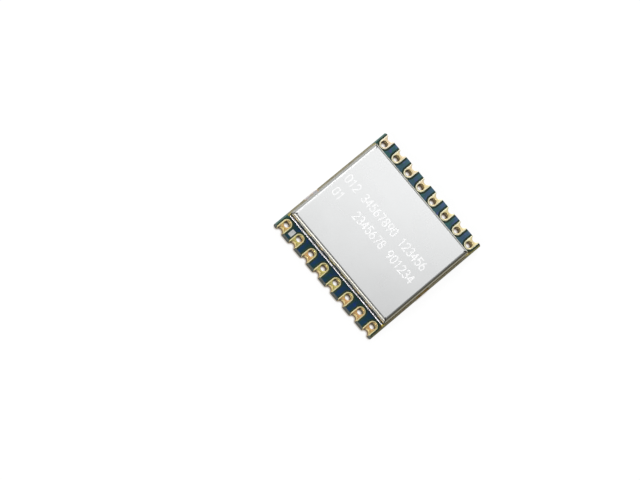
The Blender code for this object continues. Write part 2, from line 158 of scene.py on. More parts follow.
class RadioModuleColours(bpy.types.PropertyGroup):
    """Colours of the finishes."""
    gold: FloatVectorProperty(
        name="Gold", description="Gold plating of pads and slots",
        default=(0.78, 0.62, 0.33), subtype="COLOR", min=0.0, max=1.0)
    sheet: FloatVectorProperty(
        name="Shield sheet", description="Matte tinned sheet of the shield",
        default=(0.83, 0.838, 0.832), subtype="COLOR", min=0.0, max=1.0)
    tin: FloatVectorProperty(
        name="Tin", description="Tinned copper and solder",
        default=(0.56, 0.55, 0.59), subtype="COLOR", min=0.0, max=1.0)
    # The minus X pair is painted shade and the plus X pair painted light, on what is one mask
    mask_teal: FloatVectorProperty(
        name="Mask above, teal", description="Mask over copper towards minus X, its teal",
        default=(0.002, 0.038, 0.042), subtype="COLOR", min=0.0, max=1.0)
    mask_blue: FloatVectorProperty(
        name="Mask above, blue", description="Mask over copper towards minus X, its blue",
        default=(0.003, 0.028, 0.150), subtype="COLOR", min=0.0, max=1.0)
    pale_teal: FloatVectorProperty(
        name="Pale mask, teal", description="Mask over copper towards plus X, its teal",
        default=(0.038, 0.130, 0.122), subtype="COLOR", min=0.0, max=1.0)
    pale_blue: FloatVectorProperty(
        name="Pale mask, blue", description="Mask over copper towards plus X, its blue",
        default=(0.074, 0.106, 0.27), subtype="COLOR", min=0.0, max=1.0)
    mask_under: FloatVectorProperty(
        name="Mask below copper", description="Solder mask over copper, underside",
        default=(0.0, 0.10, 0.165), subtype="COLOR", min=0.0, max=1.0)
    mask_gap: FloatVectorProperty(
        name="Mask over laminate", description="Solder mask where no copper lies under it",
        default=(0.003, 0.022, 0.065), subtype="COLOR", min=0.0, max=1.0)
    mask_lip: FloatVectorProperty(
        name="Mask beside pads", description="Solder mask round the pads, shield side",
        default=(0.010, 0.028, 0.014), subtype="COLOR", min=0.0, max=1.0)
    fibre: FloatVectorProperty(
        name="Scored laminate", description="Bevelled edge where the board was snapped off",
        default=(0.235, 0.21, 0.125), subtype="COLOR", min=0.0, max=1.0)
    sawn: FloatVectorProperty(
        name="Sawn laminate", description="Sawn edge between the notches",
        default=(0.036, 0.046, 0.036), subtype="COLOR", min=0.0, max=1.0)
    ink: FloatVectorProperty(
        name="Print", description="White printing ink",
        default=(0.83, 0.85, 0.86), subtype="COLOR", min=0.0, max=1.0)


class RadioModuleStage(bpy.types.PropertyGroup):
    """Camera, lamps and wording of the marks."""
    camera_place: FloatVectorProperty(
        name="Camera place", description="Where the camera stands",
        default=(-0.08466, -0.00454, 0.29068), subtype="TRANSLATION", precision=5)
    camera_turn: FloatVectorProperty(
        name="Camera turn", description="How the camera is turned",
        default=tuple(math.radians(a) for a in (11.145, -10.699, -40.901)), subtype="EULER")
    camera_lens: FloatProperty(
        name="Lens", description="Focal length for a 36 mm wide frame, in millimetres",
        default=160.15, min=1.0)
    lamp_level: FloatProperty(
        name="Lamp level", description="Strength of all the lamps together",
        default=1.0, min=0.0)
    first_row: StringProperty(
        name="First row", description="Plain digits marked in the shield's first row",
        default="012 34567890 123456")
    second_row: StringProperty(
        name="Second row", description="Plain digits marked in the shield's second row",
        default="01   2345678 901234")


# Shader building

class Wire:
    """Output of a shader node. Arithmetic on it adds maths nodes to its tree."""

    def __init__(self, tree, socket):
        self.tree = tree
        self.socket = socket

    def maths(self, operation, other=0.0, clamp=False):
        return add(self.tree, "ShaderNodeMath", {0: self, 1: other}, operation=operation,
                   use_clamp=clamp)[0]

    def __add__(self, other):
        return self.maths("ADD", other)

    def __sub__(self, other):
        return self.maths("SUBTRACT", other)

    def __rsub__(self, other):
        return add(self.tree, "ShaderNodeMath", {0: other, 1: self}, operation="SUBTRACT")[0]

    def __mul__(self, other):
        return self.maths("MULTIPLY", other)

    def __neg__(self):
        return self.maths("MULTIPLY", -1.0)

    def __abs__(self):
        return self.maths("ABSOLUTE")

    def at_least(self, other):
        return self.maths("MAXIMUM", other)

    def stretched(self, low, high):
        """0 below low, 1 above high, smooth between."""
        return add(self.tree, "ShaderNodeMapRange", {0: self, 1: low, 2: high, 3: 0.0, 4: 1.0},
                   interpolation_type="SMOOTHSTEP")[0]

    def between(self, a, b):
        """The value that lies this share of the way from a to b."""
        return add(self.tree, "ShaderNodeMix", {0: self, 2: a, 3: b}, data_type="FLOAT")[0]

    def tint(self, a, b):
        """The colour that lies this share of the way from a to b."""
        return add(self.tree, "ShaderNodeMix", {0: self, 6: filled(a), 7: filled(b)},
                   data_type="RGBA")[2]


class Added:
    """A node in its tree; its outputs are taken by label or number."""

    def __init__(self, tree, node):
        self.tree = tree
        self.node = node

    def __getitem__(self, key):
        return Wire(self.tree, self.node.outputs[key])


def link(value, socket):
    """Wire a value to a socket, or set the socket to it."""
    if isinstance(value, Wire):
        value.tree.links.new(value.socket, socket)
    else:
        socket.default_value = value


def add(tree, kind, sockets=(), **settings):
    """A new node with its settings made and its sockets filled."""
    node = tree.nodes.new(kind)
    for key, value in settings.items():
        setattr(node, key, value)
    for key, value in dict(sockets).items():
        link(value, node.inputs[key])
    return Added(tree, node)


def rgba(colour, level=1.0):
    """The colour at a level, with full alpha."""
    return (*(min(1.0, c * level) for c in colour), 1.0)


def filled(colour):
    """A colour in the form that a socket takes."""
    if isinstance(colour, Wire) or len(colour) == 4:
        return colour
    return rgba(colour)


def noise(place, scale, detail=2.0):
    """Smooth random values with scale cells to the unit of place."""
    return add(place.tree, "ShaderNodeTexNoise",
               {"Vector": place, "Scale": scale, "Detail": detail})[0]


def split(vector):
    return add(vector.tree, "ShaderNodeSeparateXYZ", {0: vector})


WHITE = (1.0, 1.0, 1.0)
VALUE = "NodeSocketFloat"
VECTOR = "NodeSocketVector"


def new_group(inputs, outputs):
    """An empty shader group: its tree, what it is given and where its results go."""
    tree = bpy.data.node_groups.new("group", "ShaderNodeTree")
    for label, value in inputs.items():
        socket = tree.interface.new_socket(label, in_out="INPUT", socket_type=VALUE)
        socket.default_value = value
    for label, kind in outputs.items():
        tree.interface.new_socket(label, in_out="OUTPUT", socket_type=kind)
    return tree, add(tree, "NodeGroupInput"), tree.nodes.new("NodeGroupOutput").inputs


def use(tree, build, **values):
    """Place a shared group, made the first time it is asked for."""
    name = "module " + build.__name__
    group = bpy.data.node_groups.get(name)
    if group is None:
        group = build()
        group.name = name
    labelled = {label.replace("_", " "): value for label, value in values.items()}
    return add(tree, "ShaderNodeGroup", labelled, node_tree=group)


def group_millimetres():
    """The module's own coordinates, in millimetres."""
    tree, _, out = new_group({}, {"Place": VECTOR})
    place = add(tree, "ShaderNodeTexCoord")["Object"]
    scaled = add(tree, "ShaderNodeVectorMath", {0: place, "Scale": 1.0 / MM}, operation="SCALE")
    link(scaled[0], out["Place"])
    return tree


def group_surface_grain():
    """Coarse tone and fine relief, both given in cells to the millimetre."""
    tree, given, out = new_group({"Coarse": 1.0, "Fine": 20.0, "Fine Share": 0.5},
                                 {"Tone": VALUE, "Height": VALUE})
    place = use(tree, group_millimetres)["Place"]
    coarse = noise(place, given["Coarse"], 3.0)
    fine = noise(place, given["Fine"], 3.0)
    link(coarse.stretched(0.3, 0.7), out["Tone"])
    link(given["Fine Share"].between(coarse, fine), out["Height"])
    return tree


def group_scratches():
    """Sparse fine lines in one direction, as a mask."""
    tree, given, out = new_group({"Across": 30.0, "Along": 0.7, "Turn": 0.6, "Share": 0.1},
                                 {"Mask": VALUE})
    place = use(tree, group_millimetres)["Place"]
    turned = add(tree, "ShaderNodeVectorRotate", {"Vector": place, "Angle": given["Turn"]},
                 rotation_type="Z_AXIS")[0]
    size = add(tree, "ShaderNodeCombineXYZ", {0: given["Across"], 1: given["Along"], 2: 1.0})[0]
    drawn = add(tree, "ShaderNodeVectorMath", {0: turned, 1: size}, operation="MULTIPLY")[0]
    limit = 0.78 - given["Share"] * 0.5
    link(noise(drawn, 1.0, 1.0).stretched(limit, limit + 0.05), out["Mask"])
    return tree


def group_stains():
    """Soft irregular patches, as a mask."""
    tree, given, out = new_group({"Scale": 0.4, "Share": 0.4}, {"Mask": VALUE})
    patches = noise(use(tree, group_millimetres)["Place"], given["Scale"], 5.0)
    limit = 0.7 - given["Share"] * 0.35
    link(patches.stretched(limit, limit + 0.2), out["Mask"])
    return tree


def group_plies():
    """Woven layers of the cut laminate: bright glass bundles in dark resin."""
    tree, given, out = new_group({"Plies": 7.0}, {"Glass": VALUE, "Height": VALUE})
    place = use(tree, group_millimetres)["Place"]
    level = split(place)["Z"] + noise(place, 1.6) * 0.16
    wave = (level * (given["Plies"] * (2 * math.pi))).maths("SINE")
    glass = wave * 0.35 + noise(place, 9.0)
    link(glass.stretched(0.25, 0.85), out["Glass"])
    link(glass + noise(place, 60.0) * 0.6, out["Height"])
    return tree


def group_land_depth():
    """How far inside the outline of its land a place lies, in millimetres."""
    tree, given, out = new_group({"Half Pitch": 1.0, "Middle": 6.9, "Half Width": 0.5},
                                 {"Depth": VALUE})
    at = split(use(tree, group_millimetres)["Place"])
    along = (given["Middle"] - abs(at["X"])).at_least(0.0)
    beside = given["Half Pitch"] - at["Y"].maths("PINGPONG", given["Half Pitch"])
    reach = (along * along + beside * beside).maths("SQRT")
    link(given["Half Width"] - reach, out["Depth"])
    return tree


def group_end_caps():
    """The two ends of a chip part along its longest side, as a mask."""
    tree, given, out = new_group({"Share": 0.22, "Turned": 0.0}, {"Mask": VALUE})
    at = split(add(tree, "ShaderNodeTexCoord")["Generated"])
    along = given["Turned"].between(at["X"], at["Y"])
    link(abs(along - 0.5).maths("GREATER_THAN", 0.5 - given["Share"]), out["Mask"])
    return tree


def grained(tree, coarse, fine, share):
    """Outputs Tone and Height of the surface grain."""
    return use(tree, group_surface_grain, Coarse=coarse, Fine=fine, Fine_Share=share)


def stained(tree, scale, share):
    return use(tree, group_stains, Scale=scale, Share=share)["Mask"]


def place_parts(tree):
    """Where a point lies along each axis, in millimetres."""
    return split(use(tree, group_millimetres)["Place"])


def normal_parts(tree, kind="Normal"):
    """Which way the surface faces along each axis."""
    return split(add(tree, "ShaderNodeNewGeometry")[kind])


def plus_y(at):
    """1 on the plus Y half, 0 on the other."""
    return at["Y"].stretched(-1.0, 1.0)


def coat(shader, colour, rough, height, depth_mm, metallic=0.0, specular=0.5):
    """Set a shader's colour, gloss and relief."""
    for label, value in (("Base Color", colour), ("Roughness", rough), ("Metallic", metallic),
                         ("Specular IOR Level", specular)):
        link(value, shader.inputs[label])
    bump = add(height.tree, "ShaderNodeBump", {"Height": height, "Distance": depth_mm * MM,
                                               "Strength": 1.0})
    link(bump[0], shader.inputs["Normal"])


def finish(name, build, *values):
    """The named material, made the first time it is asked for."""
    mat = bpy.data.materials.get(name)
    if mat is None:
        mat = bpy.data.materials.new(name)
        mat.use_nodes = True
        build(mat.node_tree, mat.node_tree.nodes["Principled BSDF"], *values)
    return mat


# Finishes

def gold_finish(tree, shader, gold, middle_x):
    """Thin gold over nickel, olive towards minus X, with painted highlights along the rims and painted
    shade down the walls.
    """
    grain = grained(tree, 2.2, 28.0, 0.6)
    drift = grained(tree, 0.33, 3.0, 0.5)["Tone"]
    depth = use(tree, group_land_depth, Middle=middle_x, Half_Width=PAD_HALF_W)["Depth"]
    at = place_parts(tree)
    lean = normal_parts(tree)
    shifts = ((1.10, 1.08, 1.50), (1.04, 1.18, 1.15), (0.90, 0.72, 0.50), (0.60, 0.66, 0.32),
              (0.72, 0.50, 0.30))
    pink, lime, warm, olive, amber = (tuple(c * s for c, s in zip(gold, by)) for by in shifts)
    colour = drift.tint(pink, lime)
    colour = (grain["Tone"] * 0.5).tint(colour, gold)
    colour = (stained(tree, 3.2, 0.5) * 0.7).tint(colour, warm)
    # The pads towards minus X are tinted amber and olive, more on the upper lands than below
    toward_minus_x = 1.0 - at["X"].stretched(-6.5, 6.0)
    minus_x_tint = drift.stretched(0.35, 0.65).tint(amber, olive)
    above = at["Z"].stretched(0.05, 0.3)
    colour = (toward_minus_x * above.between(0.3, 0.85)).tint(colour, minus_x_tint)
    # Painted highlight: a cream band along the rims of the lands, olive towards minus X, duller and
    # less metallic than the rest
    rim_highlight = 1.0 - depth.stretched(0.07, 0.14)
    highlight_cream = drift.tint((0.97, 0.92, 0.76), (0.95, 0.94, 0.64))
    colour = rim_highlight.tint(colour, toward_minus_x.tint(highlight_cream, (0.80, 0.74, 0.42)))
    wall = 1.0 - abs(lean["Z"]).stretched(0.15, 0.55)
    # Painted shade on the hole and notch walls: dark brown deep down, gold near the lands, near black
    # on walls that face minus Y
    bore_shade = at["Z"].stretched(0.20, 0.85).tint((0.14, 0.075, 0.03), (0.70, 0.56, 0.24))
    bore_shade = (-lean["Y"]).stretched(0.3, 0.9).tint(bore_shade, (0.05, 0.03, 0.012))
    dull = (rim_highlight * 0.75).at_least(wall * 0.9)
    rough = dull.between(grain["Tone"].between(0.20, 0.34), 0.6)
    coat(shader, wall.tint(colour, bore_shade), rough, grain["Height"], 0.004, 1.0 - dull, 0.2)


def unburnt(tree):
    """0 where flux browned a slot, on the shield side at minus Y, and 1 elsewhere."""
    at = place_parts(tree)
    return (1.0 - at["Z"].stretched(0.2, 0.7)).at_least(plus_y(at))


def slot_gold_finish(tree, shader, gold):
    """Gold in the tab slots: plain at plus Y, burnt red brown by flux at minus Y."""
    grain = grained(tree, 3.0, 20.0, 0.5)
    stain = stained(tree, 1.6, 0.5)
    bright = stain.tint(rgba(gold, 0.8), (0.62, 0.34, 0.12))
    burnt = stain.tint((0.20, 0.15, 0.05), (0.22, 0.07, 0.03))
    coat(shader, unburnt(tree).tint(burnt, bright), grain["Tone"].between(0.22, 0.40),
         grain["Height"], 0.006, 1.0)


def slot_solder_finish(tree, shader, tin, gold):
    """Solder that took up some of the slot's gold, with brown flux in its hollows."""
    grain = grained(tree, 2.2, 16.0, 0.4)
    flux = stained(tree, 1.8, 0.6)
    mixed = tuple((a + b) / 2 for a, b in zip(tin, gold))
    colour = grain["Tone"].tint(rgba(mixed, 0.6), rgba(tin, 0.8))
    colour = (flux * 0.7).tint(colour, (0.56, 0.26, 0.08))
    burnt = flux.tint((0.16, 0.12, 0.045), (0.13, 0.045, 0.02))
    coat(shader, unburnt(tree).tint(burnt, colour), grain["Tone"].between(0.15, 0.32),
         grain["Height"], 0.02, 1.0)


def sheet_finish(tree, shader, sheet):
    """Matte tinned sheet: faint clouds and scratches, with painted shade towards one corner and painted
    reflections and shade on the bends and walls, set by which way they face.
    """
    grain = grained(tree, 0.16, 22.0, 0.55)
    scratch = use(tree, group_scratches, Across=24.0, Along=0.35, Turn=0.05, Share=0.10)["Mask"]
    clouds = grained(tree, 0.22, 3.0, 0.5)["Tone"]
    at = place_parts(tree)
    lean = normal_parts(tree)
    flat = abs(lean["Z"])
    # Painted shade: the sheet darkens towards the minus X, minus Y corner
    dull = 1.0 - ((at["X"] + at["Y"]) * 0.5).stretched(-9.0, 4.0)
    colour = grain["Tone"].tint(rgba(sheet, 0.99), rgba(sheet, 1.01))
    colour = (clouds * 0.4).tint(colour, rgba(sheet, 0.97))
    colour = dull.tint(colour, rgba(sheet, 0.80))
    # Painted reflection: a darker band where the bends start, on the minus X side and, less so, the
    # plus Y side
    colour = (-lean["X"]).stretched(0.08, 0.22).tint(colour, rgba(sheet, 0.68))
    colour = lean["Y"].stretched(0.04, 0.14).tint(colour, rgba(sheet, 0.86))
    # Painted reflections and shade on the bends and walls, by which way they face: dark olive towards
    # minus Y, dark where the bends face minus X, pale towards plus X, grey towards plus Y
    low_x = flat.stretched(0.50, 0.78).tint((0.42, 0.41, 0.37), (0.165, 0.16, 0.14))
    high_y = flat.stretched(0.55, 0.85).tint((0.40, 0.40, 0.36), rgba(sheet, 0.82))
    side = lean["X"].stretched(0.05, 0.3).tint(low_x, (0.66, 0.67, 0.63))
    side = lean["Y"].stretched(0.05, 0.3).tint(side, high_y)
    side = (-lean["Y"]).stretched(0.05, 0.3).tint(side, (0.22, 0.205, 0.145))
    bend = 1.0 - flat.stretched(0.84, 0.99)
    rough = scratch.between(clouds.between(0.25, 0.28), 0.20)
    coat(shader, bend.tint(colour, side), rough, grain["Height"] - scratch * 0.35, 0.002, 1.0)


def plain_finish(tree, shader, low, high, rough, cells, depth_mm, specular=0.5):
    """Grained surface between two colours and two gloss values."""
    grain = grained(tree, *cells)
    coat(shader, grain["Tone"].tint(low, high), grain["Tone"].between(*rough), grain["Height"],
         depth_mm, specular=specular)


def mark_finish(tree, shader):
    """Sheet frosted by a laser: white and rough."""
    plain_finish(tree, shader, (0.95, 0.95, 0.95), WHITE, (0.6, 0.8), (6.0, 45.0, 0.8), 0.004)


def tin_finish(tree, shader, tin):
    """Reflowed tin: soft lumps and frosty crystals, browned by flux along the short edges."""
    grain = grained(tree, 3.0, 18.0, 0.35)
    at = place_parts(tree)
    colour = grain["Tone"].tint(rgba(tin, 0.62), rgba(tin, 1.05))
    colour = (stained(tree, 1.4, 0.35) * 0.5).tint(colour, (0.40, 0.38, 0.33))
    colour = abs(at["X"]).stretched(6.15, 6.21).tint(colour, (0.13, 0.14, 0.11))
    short = abs(at["Y"]).stretched(7.45, 7.58)
    colour = short.tint(colour, plus_y(at).tint((0.17, 0.14, 0.07), (0.36, 0.34, 0.28)))
    corner = short * abs(at["X"]).stretched(5.7, 6.0)
    coat(shader, corner.tint(colour, (0.45, 0.37, 0.10)), grain["Tone"].between(0.20, 0.36),
         grain["Height"], 0.012, 1.0)


def mask_finish(tree, shader, low_x, high_x, low_y, high_y, margin=None):
    """Solder mask over copper, each side a teal and a blue, with other colours along the short edges; a
    darker minus X side is painted shade and a paler plus X side painted light.
    """
    grain = grained(tree, 0.9, 9.0, 0.5)
    at = place_parts(tree)
    share = (grain["Tone"] * 0.55).at_least(stained(tree, 1.5, 0.6))
    # Darker towards minus X and paler towards plus X, where the sides' colours differ: painted shade
    # and painted light
    across = at["X"].stretched(-3.0, 3.0)
    teal = across.tint(low_x[0], high_x[0])
    blue = across.tint(low_x[1], high_x[1])
    end = plus_y(at).tint(low_y, high_y)
    colour = abs(at["Y"]).stretched(7.3, 7.55).tint(share.tint(teal, blue), end)
    if margin:
        colour = abs(at["X"]).stretched(6.08, 6.14).tint(colour, margin)
    coat(shader, colour, grain["Tone"].between(0.24, 0.34), grain["Height"], 0.004, specular=0.16)


def mask_gap_finish(tree, shader, gap):
    """Solder mask straight on the laminate: darker, with the weave just showing."""
    plain_finish(tree, shader, gap, rgba(gap, 1.7), (0.26, 0.38), (2.2, 12.0, 0.5), 0.004, 0.22)


def fibre_finish(tree, shader, fibre, sawn):
    """Cut laminate: plies and glass ends at the sides, smooth dark resin above and below."""
    plies = use(tree, group_plies, Plies=7.0)
    stain = stained(tree, 0.8, 0.5)
    at = place_parts(tree)
    lean = normal_parts(tree, "True Normal")
    high_y = plus_y(at)
    scored = abs(lean["Y"]).stretched(0.3, 0.6)
    dark = scored.tint(rgba(sawn, 0.5), rgba(fibre, 0.5))
    light = scored.tint(rgba(sawn, 1.5), rgba(fibre, 1.5))
    colour = (stain * 0.6).tint(plies["Glass"].tint(dark, light), dark)
    flux = (1.0 - at["X"].stretched(-5.0, 3.5)) * scored.maths("SUBTRACT", high_y, clamp=True)
    burnt = stain.tint((0.17, 0.14, 0.055), (0.14, 0.055, 0.025))
    colour = (flux * 0.7).tint(colour, burnt)
    corner = scored * abs(at["X"]).stretched(5.9, 6.5)
    olive = at["X"].stretched(-1.0, 1.0).tint((0.13, 0.12, 0.035), (0.30, 0.28, 0.06))
    colour = (corner * 0.85).tint(colour, high_y.tint(olive, (0.035, 0.125, 0.115)))
    flat = abs(lean["Z"]).stretched(0.7, 0.9)
    coat(shader, flat.tint(colour, rgba(fibre, 0.22)), plies["Glass"].between(0.75, 0.45),
         plies["Height"], 0.01, specular=0.35)


def ink_finish(tree, shader, ink):
    """Screen printed ink: chalky white with thin spots."""
    plain_finish(tree, shader, rgba(ink, 0.86), rgba(ink, 1.06), (0.5, 0.7), (4.0, 30.0, 0.7), 0.006)


def body_finish(tree, shader, low, high):
    """Moulded or fired body of an inner part."""
    plain_finish(tree, shader, low, high, (0.5, 0.65), (3.0, 25.0, 0.7), 0.006)


def chip_part_finish(tree, shader, body, tin, share, turned):
    """Coil, capacitor or resistor: a coloured body between tinned ends."""
    grain = grained(tree, 4.0, 25.0, 0.6)
    ends = use(tree, group_end_caps, Share=share, Turned=turned)["Mask"]
    colour = grain["Tone"].tint(body, rgba(body, 1.4))
    coat(shader, ends.tint(colour, tin), ends.between(0.55, 0.28), grain["Height"], 0.006, ends)


# Mesh building, in millimetres

def placed(name, mesh):
    """A new object of the scene."""
    obj = bpy.data.objects.new(name, mesh)
    bpy.context.scene.collection.objects.link(obj)
    return obj


def add_object(name, bm, mat=None, smooth_below=35.0):
    """Turn a bmesh in millimetres into an object in metres."""
    bmesh.ops.recalc_face_normals(bm, faces=bm.faces[:])
    bmesh.ops.scale(bm, vec=(MM, MM, MM), verts=bm.verts[:])
    mesh = bpy.data.meshes.new(name)
    bm.to_mesh(mesh)
    bm.free()
    mesh.shade_smooth()
    mesh.set_sharp_from_angle(angle=math.radians(smooth_below))
    if mat:
        mesh.materials.append(mat)
    return placed(name, mesh)


def seat(obj, slot, *nodes):
    """Fix a finished piece to the module."""
    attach(obj, "root")
    if nodes:
        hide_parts(*nodes)


def dress(names, mat):
    """Give solids of the frame a finish."""
    for name in names:
        for slot in NODES[name].material_slots:
            slot.material = mat


def modified(obj):
    """The object's mesh as its modifiers leave it."""
    graph = bpy.context.evaluated_depsgraph_get()
    return bpy.data.meshes.new_from_object(obj.evaluated_get(graph), depsgraph=graph)


def carved(name, body, cut, joined=()):
    """The body less some tools, and with others joined to it; all are used up."""
    tools = [(tool, "DIFFERENCE") for tool in cut] + [(tool, "UNION") for tool in joined]
    for tool, operation in tools:
        step = body.modifiers.new(tool.name, "BOOLEAN")
        step.operation = operation
        step.solver = "EXACT"
        step.object = tool
    mesh = modified(body)
    mesh.name = name
    for used in (body, *cut, *joined):
        bpy.data.objects.remove(used, do_unlink=True)
    return mesh


def plate_into(bm, outline, z0, z1):
    """Fill an outline and pull it up from z0 to z1."""
    face = bm.faces.new([bm.verts.new((x, y, z0)) for x, y in outline])
    pulled = bmesh.ops.extrude_face_region(bm, geom=[face], use_keep_orig=True)
    top = [item for item in pulled["geom"] if isinstance(item, bmesh.types.BMVert)]
    bmesh.ops.translate(bm, verts=top, vec=(0, 0, z1 - z0))


def plates(name, outlines, z0, z1, mat=None):
    """An object of plates, each an outline pulled up from z0 to z1."""
    bm = bmesh.new()
    for outline in outlines:
        plate_into(bm, outline, z0, z1)
    return add_object(name, bm, mat)


def skin_into(bm, rows, closed):
    """Join rows of corners one after the other; an open line gets a face at each end."""
    rings = [[bm.verts.new(corner) for corner in row] for row in rows]
    following = rings[1:] + rings[:1] if closed else rings[1:]
    for one, other in zip(rings, following):
        for i in range(len(one)):
            j = (i + 1) % len(one)
            bm.faces.new((one[i], one[j], other[j], other[i]))
    if not closed:
        bm.faces.new(rings[0])
        bm.faces.new(rings[-1][::-1])


MOST_SLOPED = 0.4         # of a ridge's width, on each side


def ribbon_into(bm, left, right, layer, closed=False):
    """Low ridge between two edge lines, its sides sloping in towards its top."""
    rows = []
    for a, b in zip(left, right):
        a, b = Vector(a), Vector(b)
        inwards = (b - a).normalized() * min(layer.slope, (b - a).length * MOST_SLOPED)
        rows.append([(*a, layer.base), (*(a + inwards), layer.top),
                     (*(b - inwards), layer.top), (*b, layer.base)])
    skin_into(bm, rows, closed)


LEAST_MITRE = 0.5         # keeps sharp corners from running far out
CAP_ANGLES = [math.radians(a) for a in (60, 35, 12)]


def stroke_into(bm, points, half_w, layer, closed=False):
    """Line of constant width with round ends and mitred corners."""
    points = [Vector(p) for p in points]
    count = len(points)
    left, right = [], []
    for i, point in enumerate(points):
        ahead = points[(i + 1) % count] - point if closed or i + 1 < count else None
        behind = point - points[i - 1] if closed or i else None
        ahead = (ahead or behind).normalized()
        behind = (behind or ahead).normalized()
        side = Vector((-(ahead + behind).y, (ahead + behind).x)).normalized()
        reach = half_w / max(LEAST_MITRE, side.dot(Vector((-behind.y, behind.x))))
        left.append(point + side * reach)
        right.append(point - side * reach)
    if not closed:
        for end, way, hand in ((points[0], points[0] - points[1], -1),
                               (points[-1], points[-1] - points[-2], 1)):
            way = way.normalized() * half_w
            side = Vector((-way.y, way.x)) * hand
            for a in CAP_ANGLES:
                middle = end + way * math.cos(a)
                off = side * math.sin(a)
                left.insert(0 if hand < 0 else len(left), middle + off)
                right.insert(0 if hand < 0 else len(right), middle - off)
    ribbon_into(bm, left, right, layer, closed)


def arc(x, y, rx, ry, start, end, steps=10):
    """Points along an ellipse's arc, angles in degrees."""
    turns = [math.radians(start + (end - start) * i / steps) for i in range(steps + 1)]
    return [(x + rx * math.cos(a), y + ry * math.sin(a)) for a in turns]


def circle(x, y, radius, steps=24):
    return arc(x, y, radius, radius, 0, 360, steps)[:-1]


def rect(low, high):
    return [(low[0], low[1]), (high[0], low[1]), (high[0], high[1]), (low[0], high[1])]


def land_outline(half_w, x_edge, steps=20):
    """Round end about the origin, straight sides out to x_edge."""
    return arc(0, 0, half_w, half_w, 90, 270, steps) + [(x_edge, -half_w), (x_edge, half_w)]


def slot_outline(grow, y_out):
    """Half slot open towards plus Y, with the board's edge at y = 0."""
    half = (SLOT_HIGH.x - SLOT_LOW.x) / 2 - SLOT_LAND + grow
    depth = SLOT_HIGH.y - SLOT_LOW.y - SLOT_LAND + grow
    radius = SLOT_CORNER_R + grow
    inner = half - radius
    return ([(half, y_out), (-half, y_out)]
            + arc(-inner, radius - depth, radius, radius, 180, 270, 8)
            + arc(inner, radius - depth, radius, radius, 270, 360, 8))


def moved(points, x, y, turn):
    spin = Matrix.Rotation(turn, 2)
    return [tuple(spin @ Vector(p) + Vector((x, y))) for p in points]


def pads():
    """Number, hole's middle and turn of every edge pad, read from the solids."""
    for number in range(1, 17):
        low, high = box_mm("edge_pad_%02d" % number)
        outwards = 1 if high.x > 0 else -1
        x = outwards * (BOARD_HIGH.x - PAD_INSET)
        yield number, x, (low.y + high.y) / 2, 0.0 if outwards > 0 else math.pi


def slots():
    """Name, middle at the board's edge and turn of both tab slots."""
    for name, turn in (("plus_y", 0.0), ("minus_y", math.pi)):
        low, high = box_mm("tab_slot_plating_" + name)
        yield name, (low.x + high.x) / 2, high.y if turn == 0.0 else low.y, turn


# Plain digits drawn with a pen, one unit high

def digit_lines(digit):
    """Pen lines of a digit, each with whether it closes."""
    six = [(arc(0.3, 0.3, 0.3, 0.3, 0, 342, 18), True),
           ([(0.02, 0.40), (0.06, 0.62), (0.17, 0.82), (0.36, 1.0)], False)]
    shapes = {
        "0": [(arc(0.3, 0.68, 0.3, 0.32, 0, 180) + arc(0.3, 0.32, 0.3, 0.32, 180, 360), True)],
        "1": [([(0.10, 0.80), (0.34, 1.0), (0.34, 0.0)], False)],
        "2": [(arc(0.3, 0.70, 0.3, 0.3, 165, -40) + [(0.0, 0.0), (0.6, 0.0)], False)],
        "3": [(arc(0.29, 0.75, 0.26, 0.25, 150, -90), False),
              (arc(0.29, 0.27, 0.31, 0.27, 85, -150), False)],
        "4": [([(0.45, 0.0), (0.45, 0.97)], False), ([(0.42, 1.0), (0.0, 0.30), (0.62, 0.30)], False)],
        "5": [([(0.55, 1.0), (0.09, 1.0), (0.06, 0.56)] + arc(0.3, 0.32, 0.3, 0.32, 115, -145), False)],
        "6": six,
        "7": [([(0.0, 1.0), (0.6, 1.0), (0.22, 0.0)], False)],
        "8": [(arc(0.3, 0.76, 0.24, 0.24, 0, 345, 16), True),
              (arc(0.3, 0.27, 0.3, 0.27, 0, 345, 18), True)],
        "9": [([(0.6 - x, 1.0 - y) for x, y in line], closed) for line, closed in six],
    }
    return shapes.get(digit, [])


DIGIT_W = 0.6             # in heights
DIGIT_STEP = 0.86         # from one digit to the next, in heights
STROKE_STEP = 0.0006      # height between strokes that cross, in millimetres


def write_into(bm, text, start, along, height, half_w, layer, narrow=1.0):
    """Write digits from start in the direction along, to be read from outside."""
    outwards = math.copysign(1, layer.top - layer.base)
    along = Vector(along)
    up = Vector((-along.y, along.x)) * outwards
    along = along * narrow
    for place, digit in enumerate(text):
        for number, (line, closed) in enumerate(digit_lines(digit)):
            top = layer.top + STROKE_STEP * number * outwards
            points = [Vector(start) + (along * (x + place * DIGIT_STEP) + up * y) * height
                      for x, y in line]
            stroke_into(bm, points, half_w, layer._replace(top=top), closed)


def text_width(text, height):
    return ((len(text) - 1) * DIGIT_STEP + DIGIT_W) * height


# Board, mask and tracks

class RADIO_MODULE_OT_board(bpy.types.Operator):
    """Finish the cut laminate of the board"""
    bl_idname = "radio_module.board"
    bl_label = "Board"

    def execute(self, context):
        colours = context.scene.radio_module_colours
        dress(["circuit_board"], finish("cut_laminate", fibre_finish, colours.fibre, colours.sawn))
        return {"FINISHED"}


# Colours along the mask's minus Y end, brown, and its plus Y end, green
MASK_BROWN_END = (0.10, 0.06, 0.018)
MASK_GREEN_END = (0.015, 0.070, 0.066)
MASK_TEAL_UNDER = (0.0, 0.088, 0.132)


